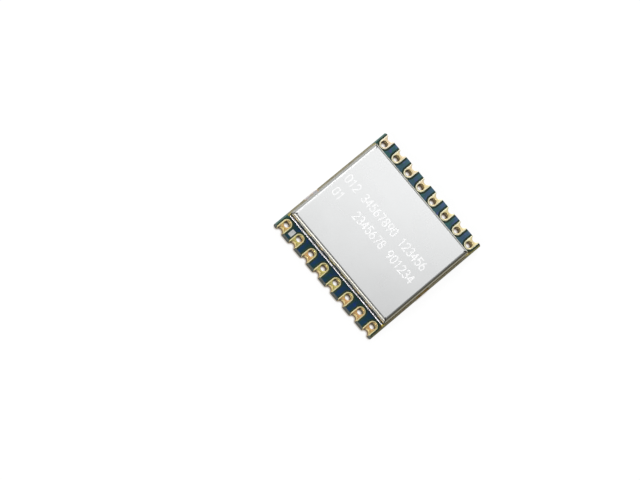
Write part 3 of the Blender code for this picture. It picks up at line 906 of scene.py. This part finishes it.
class RADIO_MODULE_OT_solder_mask(bpy.types.Operator):
    """Finish the solder mask and darken it where the copper stands back from the pads"""
    bl_idname = "radio_module.solder_mask"
    bl_label = "Solder mask"

    def execute(self, context):
        colours = context.scene.radio_module_colours
        gap = context.scene.radio_module_sizes.track_gap / MM
        low_x = (colours.mask_teal, colours.mask_blue)
        high_x = (colours.pale_teal, colours.pale_blue)
        blue = colours.mask_under
        under = (MASK_TEAL_UNDER, blue)
        above = finish("mask_above", mask_finish, low_x, high_x, MASK_BROWN_END, MASK_GREEN_END)
        below = finish("mask_below", mask_finish, under, under, blue, blue, colours.mask_gap)
        dress(["solder_mask_minus_x", "solder_mask_plus_x", "solder_mask_floor"], above)
        dress(["solder_mask_underside"], below)
        below = finish("mask_over_laminate", mask_gap_finish, colours.mask_gap)
        above = finish("mask_lip", mask_gap_finish, colours.mask_lip)
        half_w = PAD_HALF_W + MASK_OPENING
        for name, face, rise, dark in (("pad_gaps_above", MASK_HIGH.z, GAP_RISE, above),
                                       ("pad_gaps_below", UNDER_FACE, -GAP_RISE, below)):
            bm = bmesh.new()
            layer = Layer(face - math.copysign(SUNK, rise), face + rise, 0.0)
            for _, x, y, turn in pads():
                near = moved(land_outline(half_w, PAD_INSET), x, y, turn)
                far = moved(land_outline(half_w + gap, PAD_INSET), x, y, turn)
                far = [(a, max(MASK_LOW.y, min(MASK_HIGH.y, b))) for a, b in far]
                ribbon_into(bm, far[-1:] + far[:-1], near[-1:] + near[:-1], layer)
            seat(add_object(name, bm, dark), "solder_mask")
        return {"FINISHED"}


# Tracks on the underside, each a list of corners in millimetres
TRACKS = [
    [(-0.63, 6.95), (-0.55, 6.70), (-0.55, -2.55), (1.15, -4.25), (1.15, -5.60)],
    [(-4.71, 6.11), (-4.15, 6.76), (-1.65, 6.78), (-1.20, 6.35), (-1.20, -2.75), (0.55, -4.50)],
    [(-1.94, 6.16), (-1.88, 5.80), (-1.88, -2.95), (-0.35, -4.48)],
    [(-2.45, 4.60), (-2.45, -3.15), (-1.35, -4.25), (-1.35, -5.70)],
    [(4.55, 4.33), (4.55, 1.83), (3.75, 1.03), (3.75, 0.10)],
    [(2.95, 6.90), (3.75, 6.10), (3.75, 5.50)],
    [(5.20, -3.00), (4.40, -3.80), (2.55, -3.80), (1.75, -4.60)],
    [(-5.30, -1.00), (-4.50, -1.80), (-4.50, -4.40), (-3.40, -5.50)],
    [(-5.20, 3.00), (-3.75, 3.00), (-3.30, 2.55), (-3.30, 0.50)],
]
# Row of vias in a field without copper
VIA_FIELD = ((-0.35, 6.22), (3.25, 7.12))
VIA_ROW = [(0.22 + 0.66 * i, 6.66) for i in range(4)]
# Vias that only tie the ground planes together
GROUND_VIAS = [(4.45, 3.60), (4.60, 2.90), (3.45, 0.00), (1.10, 7.30), (-0.60, 7.35), (5.35, 6.95),
               (-5.10, 7.20), (5.35, 1.10), (5.30, -1.05), (5.35, -5.05), (5.20, -7.15), (3.10, -7.20),
               (-3.20, -7.15), (-5.20, -7.20), (-5.25, -3.05), (-5.30, 1.05), (-5.25, 4.95),
               (2.35, -6.10), (-2.60, -6.30), (3.95, -5.40), (-3.75, -2.60)]
# A via's hole, its sloping rim and the bare spot in it, in shares of its radius
VIA_HOLE = 0.48
VIA_SLOPE = 0.16
VIA_SPOT = 0.5
# How much paler the mask is over a track, and where it is patched
TRACK_LEVEL = 1.25
TRACK_LIFT = 0.006
TRACK_PATCH = 1.1


class RADIO_MODULE_OT_tracks(bpy.types.Operator):
    """Lay the tracks and vias that show through the underside's mask"""
    bl_idname = "radio_module.tracks"
    bl_label = "Tracks"

    def execute(self, context):
        sizes = context.scene.radio_module_sizes
        colours = context.scene.radio_module_colours
        half_w = sizes.track_width / MM / 2
        gap = sizes.track_gap / MM
        via = sizes.via_radius / MM
        base = UNDER_FACE + SUNK
        bare = UNDER_FACE - GAP_RISE
        ring = Layer(base, UNDER_FACE - VIA_RISE, via * VIA_SLOPE)
        ends = [end for track in TRACKS for end in (track[0], track[-1])]
        gaps = bmesh.new()
        copper = bmesh.new()
        for track in TRACKS:
            stroke_into(gaps, track, half_w + gap, Layer(base, bare, 0.0))
            stroke_into(copper, track, half_w, Layer(base, UNDER_FACE - TRACK_RISE, TRACK_SLOPE))
        plate_into(gaps, rect(*VIA_FIELD), bare, base)
        for x, y in ends:
            plate_into(gaps, circle(x, y, via + gap), UNDER_FACE - GAP_RING_RISE, base)
        for x, y in GROUND_VIAS:
            plate_into(gaps, circle(x, y, via * VIA_SPOT, 16), bare, base)
        for x, y in ends + VIA_ROW + GROUND_VIAS:
            ribbon_into(copper, circle(x, y, via), circle(x, y, via * VIA_HOLE), ring, closed=True)
        dark = finish("mask_over_laminate", mask_gap_finish, colours.mask_gap)
        line = tuple(c * TRACK_LEVEL + TRACK_LIFT for c in colours.mask_under)
        pair = (line, tuple(c * TRACK_PATCH for c in line))
        pale = finish("mask_over_tracks", mask_finish, pair, pair, line, line)
        seat(add_object("track_gaps", gaps, dark), "solder_mask")
        seat(add_object("tracks_and_vias", copper, pale), "solder_mask")
        return {"FINISHED"}


# Plated pads and slots

WELD = 0.0005             # corners closer than this become one
LEVEL_ROOM = 0.001        # how far off its level a rim's corner may be
HOLE_ROOM = 0.01          # how far outside the hole's radius its rim may be
RIM_ANGLE = math.radians(50)
RIM_STEPS = 3
HOLE_RIM_STEPS = 4
DRILL_SIDES = 48
DRILL_LENGTH = 4.0        # millimetres
LAND_STEPS = 32


def rounded_rims(mesh, z_levels, radius, hole_radius, hole_round):
    """Round the plated edges at the given levels, more so round the hole at the origin."""
    bm = bmesh.new()
    bm.from_mesh(mesh)
    bmesh.ops.scale(bm, vec=(1 / MM,) * 3, verts=bm.verts[:])
    bmesh.ops.remove_doubles(bm, verts=bm.verts[:], dist=WELD)
    for of_hole, width, segments in ((True, hole_round, HOLE_RIM_STEPS), (False, radius, RIM_STEPS)):
        rims = []
        for edge in bm.edges:
            level = any(all(abs(v.co.z - z) < LEVEL_ROOM for v in edge.verts) for z in z_levels)
            bent = edge.is_manifold and edge.calc_face_angle() > RIM_ANGLE
            on_hole = all(v.co.xy.length < hole_radius + HOLE_ROOM for v in edge.verts)
            if level and bent and on_hole == of_hole:
                rims.append(edge)
        bmesh.ops.bevel(bm, geom=rims, offset=width, segments=segments, profile=0.5,
                        affect="EDGES", clamp_overlap=True)
    return bm


def drill(name, x, radius):
    """Upright rod that reaches through the board."""
    bm = bmesh.new()
    bmesh.ops.create_cone(bm, cap_ends=True, segments=DRILL_SIDES, radius1=radius,
                          radius2=radius, depth=DRILL_LENGTH, matrix=Matrix.Translation((x, 0, 0)))
    return add_object(name, bm)


class RADIO_MODULE_OT_edge_pads(bpy.types.Operator):
    """Build the sixteen plated edge pads with rounded rims"""
    bl_idname = "radio_module.edge_pads"
    bl_label = "Edge pads"

    def execute(self, context):
        sizes = context.scene.radio_module_sizes
        gold = finish("gold_plate", gold_finish, context.scene.radio_module_colours.gold,
                      BOARD_HIGH.x - PAD_INSET)
        hole = sizes.hole_radius / MM
        notch = sizes.notch_radius / MM
        mesh = self.cut_pad(hole, notch, PAD_INSET + notch - sizes.notch_depth / MM)
        bm = rounded_rims(mesh, (0.0, PAD_HIGH.z), sizes.rim_round / MM, hole, sizes.hole_round / MM)
        master = add_object("pad_master", bm, gold)
        for number, x, y, turn in pads():
            piece = placed("plated_pad_%02d" % number, master.data.copy())
            place = Matrix.Translation(Vector((x, y, 0)) * MM) @ Matrix.Rotation(turn, 4, "Z")
            piece.data.transform(place)
            seat(piece, "gold_plating", "edge_pad_%02d" % number)
        bpy.data.objects.remove(master)
        return {"FINISHED"}

    def cut_pad(self, hole, notch, notch_x):
        """Two lands joined by the plating of the hole and of the notch."""
        top = PAD_HIGH.z
        wide = BOARD_HIGH.x
        body = plates("pad", [land_outline(PAD_HALF_W, PAD_INSET, LAND_STEPS)], 0.0, top)
        core = plates("core", [rect((-wide, -wide), (wide, wide))], COPPER_T, top - COPPER_T)
        core = carved("core", core, [drill("hole_plating", 0, hole + PLATING_T),
                                     drill("notch_plating", notch_x, notch + PLATING_T)])
        return carved("pad", body, [placed("between_lands", core), drill("hole", 0, hole),
                                    drill("notch", notch_x, notch)])


MELT_VOXEL = 0.025 * MM
MELT_SHARE = 0.5
MELT_ROUNDS = 14


class RADIO_MODULE_OT_tab_slots(bpy.types.Operator):
    """Finish the plated half slots and fill them with solder"""
    bl_idname = "radio_module.tab_slots"
    bl_label = "Tab slots"

    def execute(self, context):
        colours = context.scene.radio_module_colours
        gold = finish("slot_gold", slot_gold_finish, colours.gold)
        solder = finish("slot_solder", slot_solder_finish, colours.tin, colours.gold)
        dress(["tab_slot_plating_plus_y", "tab_slot_plating_minus_y"], gold)
        for name, x, y, turn in slots():
            low, high = box_mm("tab_solder_" + name)
            outline = moved(slot_outline(-SOLDER_GAP, -SOLDER_RECESS), x, y, turn)
            piece = plates("slot_solder_" + name, [outline], low.z, high.z, solder)
            self.melt(piece)
            seat(piece, "solder", "tab_solder_" + name)
        return {"FINISHED"}

    def melt(self, piece):
        """Turn the plain fill into a smooth, slightly lumpy one."""
        remesh = piece.modifiers.new("skin", "REMESH")
        remesh.mode = "VOXEL"
        remesh.voxel_size = MELT_VOXEL
        soften = piece.modifiers.new("soften", "SMOOTH")
        soften.factor = MELT_SHARE
        soften.iterations = MELT_ROUNDS
        mesh = modified(piece)
        piece.modifiers.clear()
        piece.data = mesh
        mesh.shade_smooth()


# Ground ring and shield

def rounded_rectangle(half_x, half_y, radius, step):
    """Points and outward directions along a rectangle with round corners."""
    middles = [Vector((x * (half_x - radius), y * (half_y - radius)))
               for x, y in ((1, 1), (-1, 1), (-1, -1), (1, -1))]
    found = []
    for i, middle in enumerate(middles):
        for a in range(90 * i, 90 * i + 91, 15):
            way = Vector((math.cos(math.radians(a)), math.sin(math.radians(a))))
            found.append((middle + way * radius, way))
        here, way = found[-1]
        there = middles[(i + 1) % 4] + way * radius
        count = max(2, round((there - here).length / step))
        found += [(here.lerp(there, k / count), way) for k in range(1, count)]
    return found


# Bead of solder along the shield's foot, in millimetres
BEAD_CORNER_R = 0.03
BEAD_STEP = 0.12
BEAD_INSIDE = -0.01       # it starts this far inside the wall
BEAD_WIDTH = (0.045, 0.03)    # the least, and what swelling adds to it
BEAD_HEIGHT = (0.05, 0.10)
BEAD_AT_TAB = (0.012, 0.014)  # width and height
TAB_ROOM = 0.25           # how far beside a tab the bead stays thin
SWELL_CHANGE = 0.3        # the most from one step to the next
# Its section between the wall and its outer edge, in shares of its width and height
BEAD_SECTION = [(0.12, 0.55), (0.42, 0.20)]


class RADIO_MODULE_OT_ground_ring(bpy.types.Operator):
    """Finish the tinned ring and run the bead of solder along the shield's foot"""
    bl_idname = "radio_module.ground_ring"
    bl_label = "Ground ring"

    def execute(self, context):
        tin = finish("reflowed_tin", tin_finish, context.scene.radio_module_colours.tin)
        dress(["ground_ring"], tin)
        rng = random.Random(5)
        swell = 0.5
        rows = []
        for point, way in rounded_rectangle(SHIELD_HIGH.x, SHIELD_HIGH.y, BEAD_CORNER_R, BEAD_STEP):
            swell = min(1.0, max(0.0, swell + rng.uniform(-SWELL_CHANGE, SWELL_CHANGE)))
            at_tab = any(abs(point.x - x) < TAB_W / 2 + TAB_ROOM and point.y * y > 0
                         and abs(way.y) > 0.9 for _, x, y, _ in slots())
            width, height = (low + more * swell for low, more in (BEAD_WIDTH, BEAD_HEIGHT))
            if at_tab:
                width, height = BEAD_AT_TAB
            section = [(BEAD_INSIDE, -SUNK), (BEAD_INSIDE, height),
                       *((out * width, up * height) for out, up in BEAD_SECTION), (width, -SUNK)]
            rows.append([(*(point + way * out), RING_HIGH.z + up) for out, up in section])
        bm = bmesh.new()
        skin_into(bm, rows, closed=True)
        seat(add_object("shield_solder_bead", bm, tin, 60.0), "solder")
        return {"FINISHED"}


def folded_box(name, half_x, half_y, z0, z1, radius, segments):
    """Box with four bent upper edges, sharp upright edges and a sharp lower rim."""
    bm = bmesh.new()
    plate_into(bm, rect((-half_x, -half_y), (half_x, half_y)), z0, z1)
    edges = [e for e in bm.edges if min(v.co.z for v in e.verts) > (z0 + z1) / 2]
    bmesh.ops.bevel(bm, geom=edges, offset=radius, segments=segments, profile=0.5,
                    affect="EDGES", clamp_overlap=True)
    return add_object(name, bm)


BEND_STEPS = 12
INNER_BEND_STEPS = 4
SLIT_REACH = 1.0          # of a slit's cut, outwards from its inner end
CUT_ROOM = 0.5            # how far a slit's cut starts below and ends above the shield
HOLLOW_ROOM = 1.0         # how far the hollow is cut below the shield


class RADIO_MODULE_OT_shield(bpy.types.Operator):
    """Fold the shield from sheet, slit at its corners, with its two tabs"""
    bl_idname = "radio_module.shield"
    bl_label = "Shield"

    def execute(self, context):
        bend = context.scene.radio_module_sizes.bend_radius / MM
        foot = RING_HIGH.z + FOOT_GAP
        half_x, half_y = SHIELD_HIGH.xy
        outer = folded_box("shield", half_x, half_y, foot, SHIELD_TOP, bend, BEND_STEPS)
        hollow = folded_box("hollow", half_x - SHEET_T, half_y - SHEET_T, foot - HOLLOW_ROOM,
                            SHIELD_TOP - SHEET_T, INNER_BEND_R, INNER_BEND_STEPS)
        slits = plates("slits", self.slit_outlines(half_x - bend, half_y - bend),
                       foot - CUT_ROOM, SHIELD_TOP + CUT_ROOM)
        inset = BOARD_HIGH.y - half_y
        tab = rect((-TAB_W / 2, -inset - SHEET_T + TAB_THINNED), (TAB_W / 2, -inset - TAB_THINNED))
        tabs = plates("tabs", [moved(tab, x, y, turn) for _, x, y, turn in slots()],
                      TAB_RECESS, foot + SHEET_T)
        mesh = carved("shield", outer, [hollow, slits], [tabs])
        mesh.shade_smooth()
        mesh.set_sharp_from_angle(angle=math.radians(30))
        mesh.materials.clear()
        mesh.materials.append(finish("shield_sheet_finish", sheet_finish,
                                     context.scene.radio_module_colours.sheet))
        seat(placed("folded_shield", mesh), "shield_sheet", "shield_can")
        return {"FINISHED"}

    def slit_outlines(self, half_x, half_y):
        """Cuts that run out from each corner of the flat."""
        half = CORNER_SLIT / 2
        for x, y in ((half_x, half_y), (-half_x, half_y), (-half_x, -half_y), (half_x, -half_y)):
            turn = math.atan2(math.copysign(1, y), math.copysign(1, x))
            yield moved(rect((-half, -half), (SLIT_REACH, half)), x, y, turn)


# Where each row of marks on the shield starts
MARK_ROWS = [(0.62, 6.75), (-1.32, 6.60)]
MARK_NARROW = 0.80        # width of a digit against its drawing
MARK_HALF_W = 0.068


class RADIO_MODULE_OT_shield_marks(bpy.types.Operator):
    """Mark plain digits on the shield with a laser"""
    bl_idname = "radio_module.shield_marks"
    bl_label = "Shield marks"

    def execute(self, context):
        height = context.scene.radio_module_sizes.mark_height / MM
        stage = context.scene.radio_module_stage
        layer = Layer(SHIELD_TOP - MARK_SUNK, SHIELD_TOP + MARK_RISE, MARK_SLOPE)
        bm = bmesh.new()
        for start, text in zip(MARK_ROWS, (stage.first_row, stage.second_row)):
            write_into(bm, text, start, (0, -1), height, MARK_HALF_W, layer, MARK_NARROW)
        seat(add_object("shield_marks", bm, finish("laser_mark", mark_finish)), "shield_sheet")
        return {"FINISHED"}


# Print

TABLE_LOW = (-2.75, -2.51)
TABLE_HIGH = (2.72, 5.15)
TABLE_DIVIDER = -0.05
TABLE_ROWS = 5
TABLE_DIGIT_H = 1.15
PIN_MARK = ((-7.55, 5.70), (-6.80, 6.20))
LABEL_OFF_PAD = 0.45
# Width of the table's lines and of its digits' lines, in shares of the print's line
TABLE_LINE = 0.75
TABLE_PEN = 1.05
THIN_INK = 0.66           # level of the ink where it is thin


class RADIO_MODULE_OT_print(bpy.types.Operator):
    """Print the pin mark above, the pin numbers and the table below"""
    bl_idname = "radio_module.print"
    bl_label = "Print"

    def execute(self, context):
        sizes = context.scene.radio_module_sizes
        white = context.scene.radio_module_colours.ink
        half_w = sizes.print_line / MM / 2
        height = sizes.number_height / MM
        thin = finish("thin_ink", ink_finish, tuple(c * THIN_INK for c in white))
        mark = plates("pin_mark", [rect(*PIN_MARK)], MASK_HIGH.z - SUNK, MASK_HIGH.z + PRINT_RISE, thin)
        seat(mark, "solder_mask")

        layer = Layer(UNDER_FACE + SUNK, UNDER_FACE - PRINT_RISE, PRINT_SLOPE)
        bm = bmesh.new()
        self.draw_table(bm, half_w, layer)
        tip = BOARD_HIGH.x - PAD_INSET - PAD_HALF_W - LABEL_OFF_PAD
        for number, x, y, _ in pads():
            text = str(number)
            start_x = tip if x > 0 else text_width(text, height) - tip
            write_into(bm, text, (start_x, y - height / 2), (-1, 0), height, half_w, layer)
        seat(add_object("underside_print", bm, finish("white_ink", ink_finish, white)), "solder_mask")
        return {"FINISHED"}

    def draw_table(self, bm, half_w, layer):
        """Frame of two columns and five rows, with round hundreds in one column."""
        (x0, y0), (x1, y1) = TABLE_LOW, TABLE_HIGH
        row_h = (y1 - y0) / TABLE_ROWS
        for i in range(TABLE_ROWS + 1):
            y = y0 + i * row_h
            stroke_into(bm, [(x0, y), (x1, y)], half_w * TABLE_LINE, layer)
        for x in (x0, TABLE_DIVIDER, x1):
            stroke_into(bm, [(x, y0), (x, y1)], half_w * TABLE_LINE, layer)
        middle = (TABLE_DIVIDER + x1) / 2
        for i in range(TABLE_ROWS):
            text = str(100 * (i + 1))
            start = (middle + text_width(text, TABLE_DIGIT_H) / 2,
                     y1 - (i + 0.5) * row_h - TABLE_DIGIT_H / 2)
            write_into(bm, text, start, (-1, 0), TABLE_DIGIT_H, half_w * TABLE_PEN, layer)


# Parts under the shield

# Body colour of each kind of chip part, and the share of its length that each end takes
CHIP_PARTS = {"inductor": ((0.10, 0.10, 0.12), 0.20), "capacitor": ((0.36, 0.25, 0.15), 0.22),
              "resistor": ((0.02, 0.02, 0.024), 0.20)}
EPOXY = ((0.012, 0.012, 0.014), (0.03, 0.03, 0.032))
CERAMIC = ((0.20, 0.17, 0.15), (0.30, 0.26, 0.23))


class RADIO_MODULE_OT_inner_parts(bpy.types.Operator):
    """Finish the chip, the crystal and the small parts under the shield"""
    bl_idname = "radio_module.inner_parts"
    bl_label = "Inner parts"

    def execute(self, context):
        tin = context.scene.radio_module_colours.tin
        dress(["radio_chip", "antenna_switch"], finish("moulded_epoxy", body_finish, *EPOXY))
        dress(["crystal_base"], finish("crystal_ceramic_finish", body_finish, *CERAMIC))
        dress(["crystal_lid"], finish("reflowed_tin", tin_finish, tin))
        for kind, (body, share) in CHIP_PARTS.items():
            for name in [n for n in NODES if n.startswith(kind)]:
                low, high = box_mm(name)
                turned = 1.0 if high.y - low.y > high.x - low.x else 0.0
                label = "%s_%s" % (kind, "turned" if turned else "straight")
                dress([name], finish(label, chip_part_finish, body, tin, share, turned))
        return {"FINISHED"}


# Stage

FLOOR_REACH = 3000.0      # millimetres
FLOOR_DROP = 0.002        # millimetres below the pads
FLOOR_GLOW = 1.04
GLOW_SHARE = 0.88
# Painted contact shadow: ambient occlusion darkens the floor's glow near the module towards a warm
# colour, the warmth painted bounced light from the gold
CONTACT_REACH = 0.00022   # metres
CONTACT_SHADE = (0.20, 0.13, 0.05)
# Name, azimuth and height in degrees, distance and side in metres, power in watts
LAMPS = [
    ("key", 170.0, 33.0, 0.55, 0.24, 2.0),
    ("fill", 40.0, 35.0, 0.55, 0.30, 1.3),
]
# Level of the sky from straight below (0) to straight above (1)
SKY = [(0.0, 0.90), (0.49, 0.85), (0.51, 0.24), (1.0, 0.24)]
# The long light overhead runs off towards plus Y. Its middle and half widths, in degrees from
# straight up, with the width of its soft edge, and its light
WINDOW = {"X": (29.0, 26.0, 6.0), "Y": (30.0, 42.0, 6.0)}
WINDOW_LIGHT = (1.08, 1.08, 1.0908, 1.0)


def towards(azimuth, height):
    """Unit direction for angles in degrees."""
    azimuth, height = math.radians(azimuth), math.radians(height)
    return Vector((math.cos(height) * math.cos(azimuth), math.cos(height) * math.sin(azimuth),
                   math.sin(height)))


class RADIO_MODULE_OT_stage(bpy.types.Operator):
    """Set the floor, the sky, the lamps and the camera"""
    bl_idname = "radio_module.stage"
    bl_label = "Stage"

    def execute(self, context):
        context.scene.view_settings.view_transform = "Standard"
        self.lay_floor()
        self.light_sky(context.scene)
        self.hang_lamps(context.scene)
        self.place_camera(context.scene)
        return {"FINISHED"}

    def lay_floor(self):
        """White table that only the eye and mirrors see, and only from above."""
        bm = bmesh.new()
        bmesh.ops.create_grid(bm, x_segments=1, y_segments=1, size=FLOOR_REACH,
                              matrix=Matrix.Translation((0, 0, -FLOOR_DROP)))
        floor = add_object("floor", bm)
        mat = bpy.data.materials.new("white_table")
        mat.use_nodes = True
        tree = mat.node_tree
        plain = Added(tree, tree.nodes["Principled BSDF"])
        for label, value in (("Base Color", rgba(WHITE)), ("Roughness", 0.9),
                             ("Specular IOR Level", 0.0)):
            link(value, plain.node.inputs[label])
        near = add(tree, "ShaderNodeAmbientOcclusion", {"Distance": CONTACT_REACH}, samples=16)
        shade = near["AO"].maths("POWER", 2.0).tint(CONTACT_SHADE, WHITE)
        glow = add(tree, "ShaderNodeEmission", {"Strength": FLOOR_GLOW, "Color": shade})
        lit = add(tree, "ShaderNodeMixShader", {0: GLOW_SHARE, 1: plain[0], 2: glow[0]})
        path = add(tree, "ShaderNodeLightPath")
        seen = path["Is Camera Ray"].at_least(path["Is Glossy Ray"].at_least(
            path["Is Transmission Ray"]))
        above = 1.0 - add(tree, "ShaderNodeNewGeometry")["Backfacing"]
        clear = add(tree, "ShaderNodeBsdfTransparent")
        mixed = add(tree, "ShaderNodeMixShader", {0: seen * above, 1: clear[0], 2: lit[0]})
        link(mixed[0], tree.nodes["Material Output"].inputs["Surface"])
        floor.data.materials.append(mat)

    def light_sky(self, scene):
        """Dim studio sky with one long light overhead; bright below, and white to the eye."""
        world = bpy.data.worlds.new("studio")
        scene.world = world
        world.use_nodes = True
        tree = world.node_tree
        at = split(add(tree, "ShaderNodeTexCoord")["Generated"])
        ramp = add(tree, "ShaderNodeValToRGB", {0: (at["Z"] + 1.0) * 0.5})
        steps = ramp.node.color_ramp.elements
        while len(steps) < len(SKY):
            steps.new(0.5)
        for element, (place, level) in zip(steps, SKY):
            element.position = place
            element.color = (level, level, level, 1.0)
        inside = at["Z"].stretched(0.0, 0.1)
        for axis, (middle, half, soft) in WINDOW.items():
            off = abs(at[axis].maths("ARCTAN2", at["Z"]) - math.radians(middle))
            outside = off.stretched(math.radians(half - soft), math.radians(half + soft))
            inside = inside * (1.0 - outside)
        path = add(tree, "ShaderNodeLightPath")
        seen = path["Is Camera Ray"].at_least(path["Is Transmission Ray"])
        back = tree.nodes["Background"].inputs
        link(seen.tint(inside.tint(ramp[0], WINDOW_LIGHT), WHITE), back["Color"])
        back["Strength"].default_value = 1.0

    def hang_lamps(self, scene):
        level = scene.radio_module_stage.lamp_level
        for name, azimuth, height, distance, size, power in LAMPS:
            lamp = bpy.data.lights.new(name, "AREA")
            lamp.size = size
            lamp.energy = power * level
            obj = placed(name, lamp)
            way = towards(azimuth, height)
            obj.location = way * distance
            obj.rotation_euler = (-way).to_track_quat("-Z", "Y").to_euler()
            obj.visible_camera = False

    def place_camera(self, scene):
        stage = scene.radio_module_stage
        lens = bpy.data.cameras.new("camera")
        lens.sensor_width = 36.0
        lens.lens = stage.camera_lens
        lens.clip_start = 0.01
        lens.clip_end = 20.0
        camera = placed("camera", lens)
        camera.location = stage.camera_place
        camera.rotation_euler = stage.camera_turn
        scene.camera = camera


class RADIO_MODULE_PT_panel(bpy.types.Panel):
    """Steps that dress the radio module"""
    bl_label = "Radio Module"
    bl_idname = "RADIO_MODULE_PT_panel"
    bl_space_type = "VIEW_3D"
    bl_region_type = "UI"
    bl_category = "Radio Module"

    def draw(self, context):
        for step in STEPS:
            self.layout.operator(step.bl_idname)


STEPS = [RADIO_MODULE_OT_stage, RADIO_MODULE_OT_board, RADIO_MODULE_OT_solder_mask,
         RADIO_MODULE_OT_tracks, RADIO_MODULE_OT_edge_pads, RADIO_MODULE_OT_tab_slots,
         RADIO_MODULE_OT_ground_ring, RADIO_MODULE_OT_shield, RADIO_MODULE_OT_shield_marks,
         RADIO_MODULE_OT_print, RADIO_MODULE_OT_inner_parts]
SETTINGS = [RadioModuleSizes, RadioModuleColours, RadioModuleStage]


def register():
    for cls in SETTINGS + STEPS + [RADIO_MODULE_PT_panel]:
        bpy.utils.register_class(cls)
    bpy.types.Scene.radio_module_sizes = PointerProperty(type=RadioModuleSizes)
    bpy.types.Scene.radio_module_colours = PointerProperty(type=RadioModuleColours)
    bpy.types.Scene.radio_module_stage = PointerProperty(type=RadioModuleStage)


def unregister():
    del bpy.types.Scene.radio_module_stage
    del bpy.types.Scene.radio_module_colours
    del bpy.types.Scene.radio_module_sizes
    for cls in reversed(SETTINGS + STEPS + [RADIO_MODULE_PT_panel]):
        bpy.utils.unregister_class(cls)


def main():
    register()
    for step in STEPS:
        group, name = step.bl_idname.split(".")
        getattr(getattr(bpy.ops, group), name)()


if __name__ == "__main__":
    main()
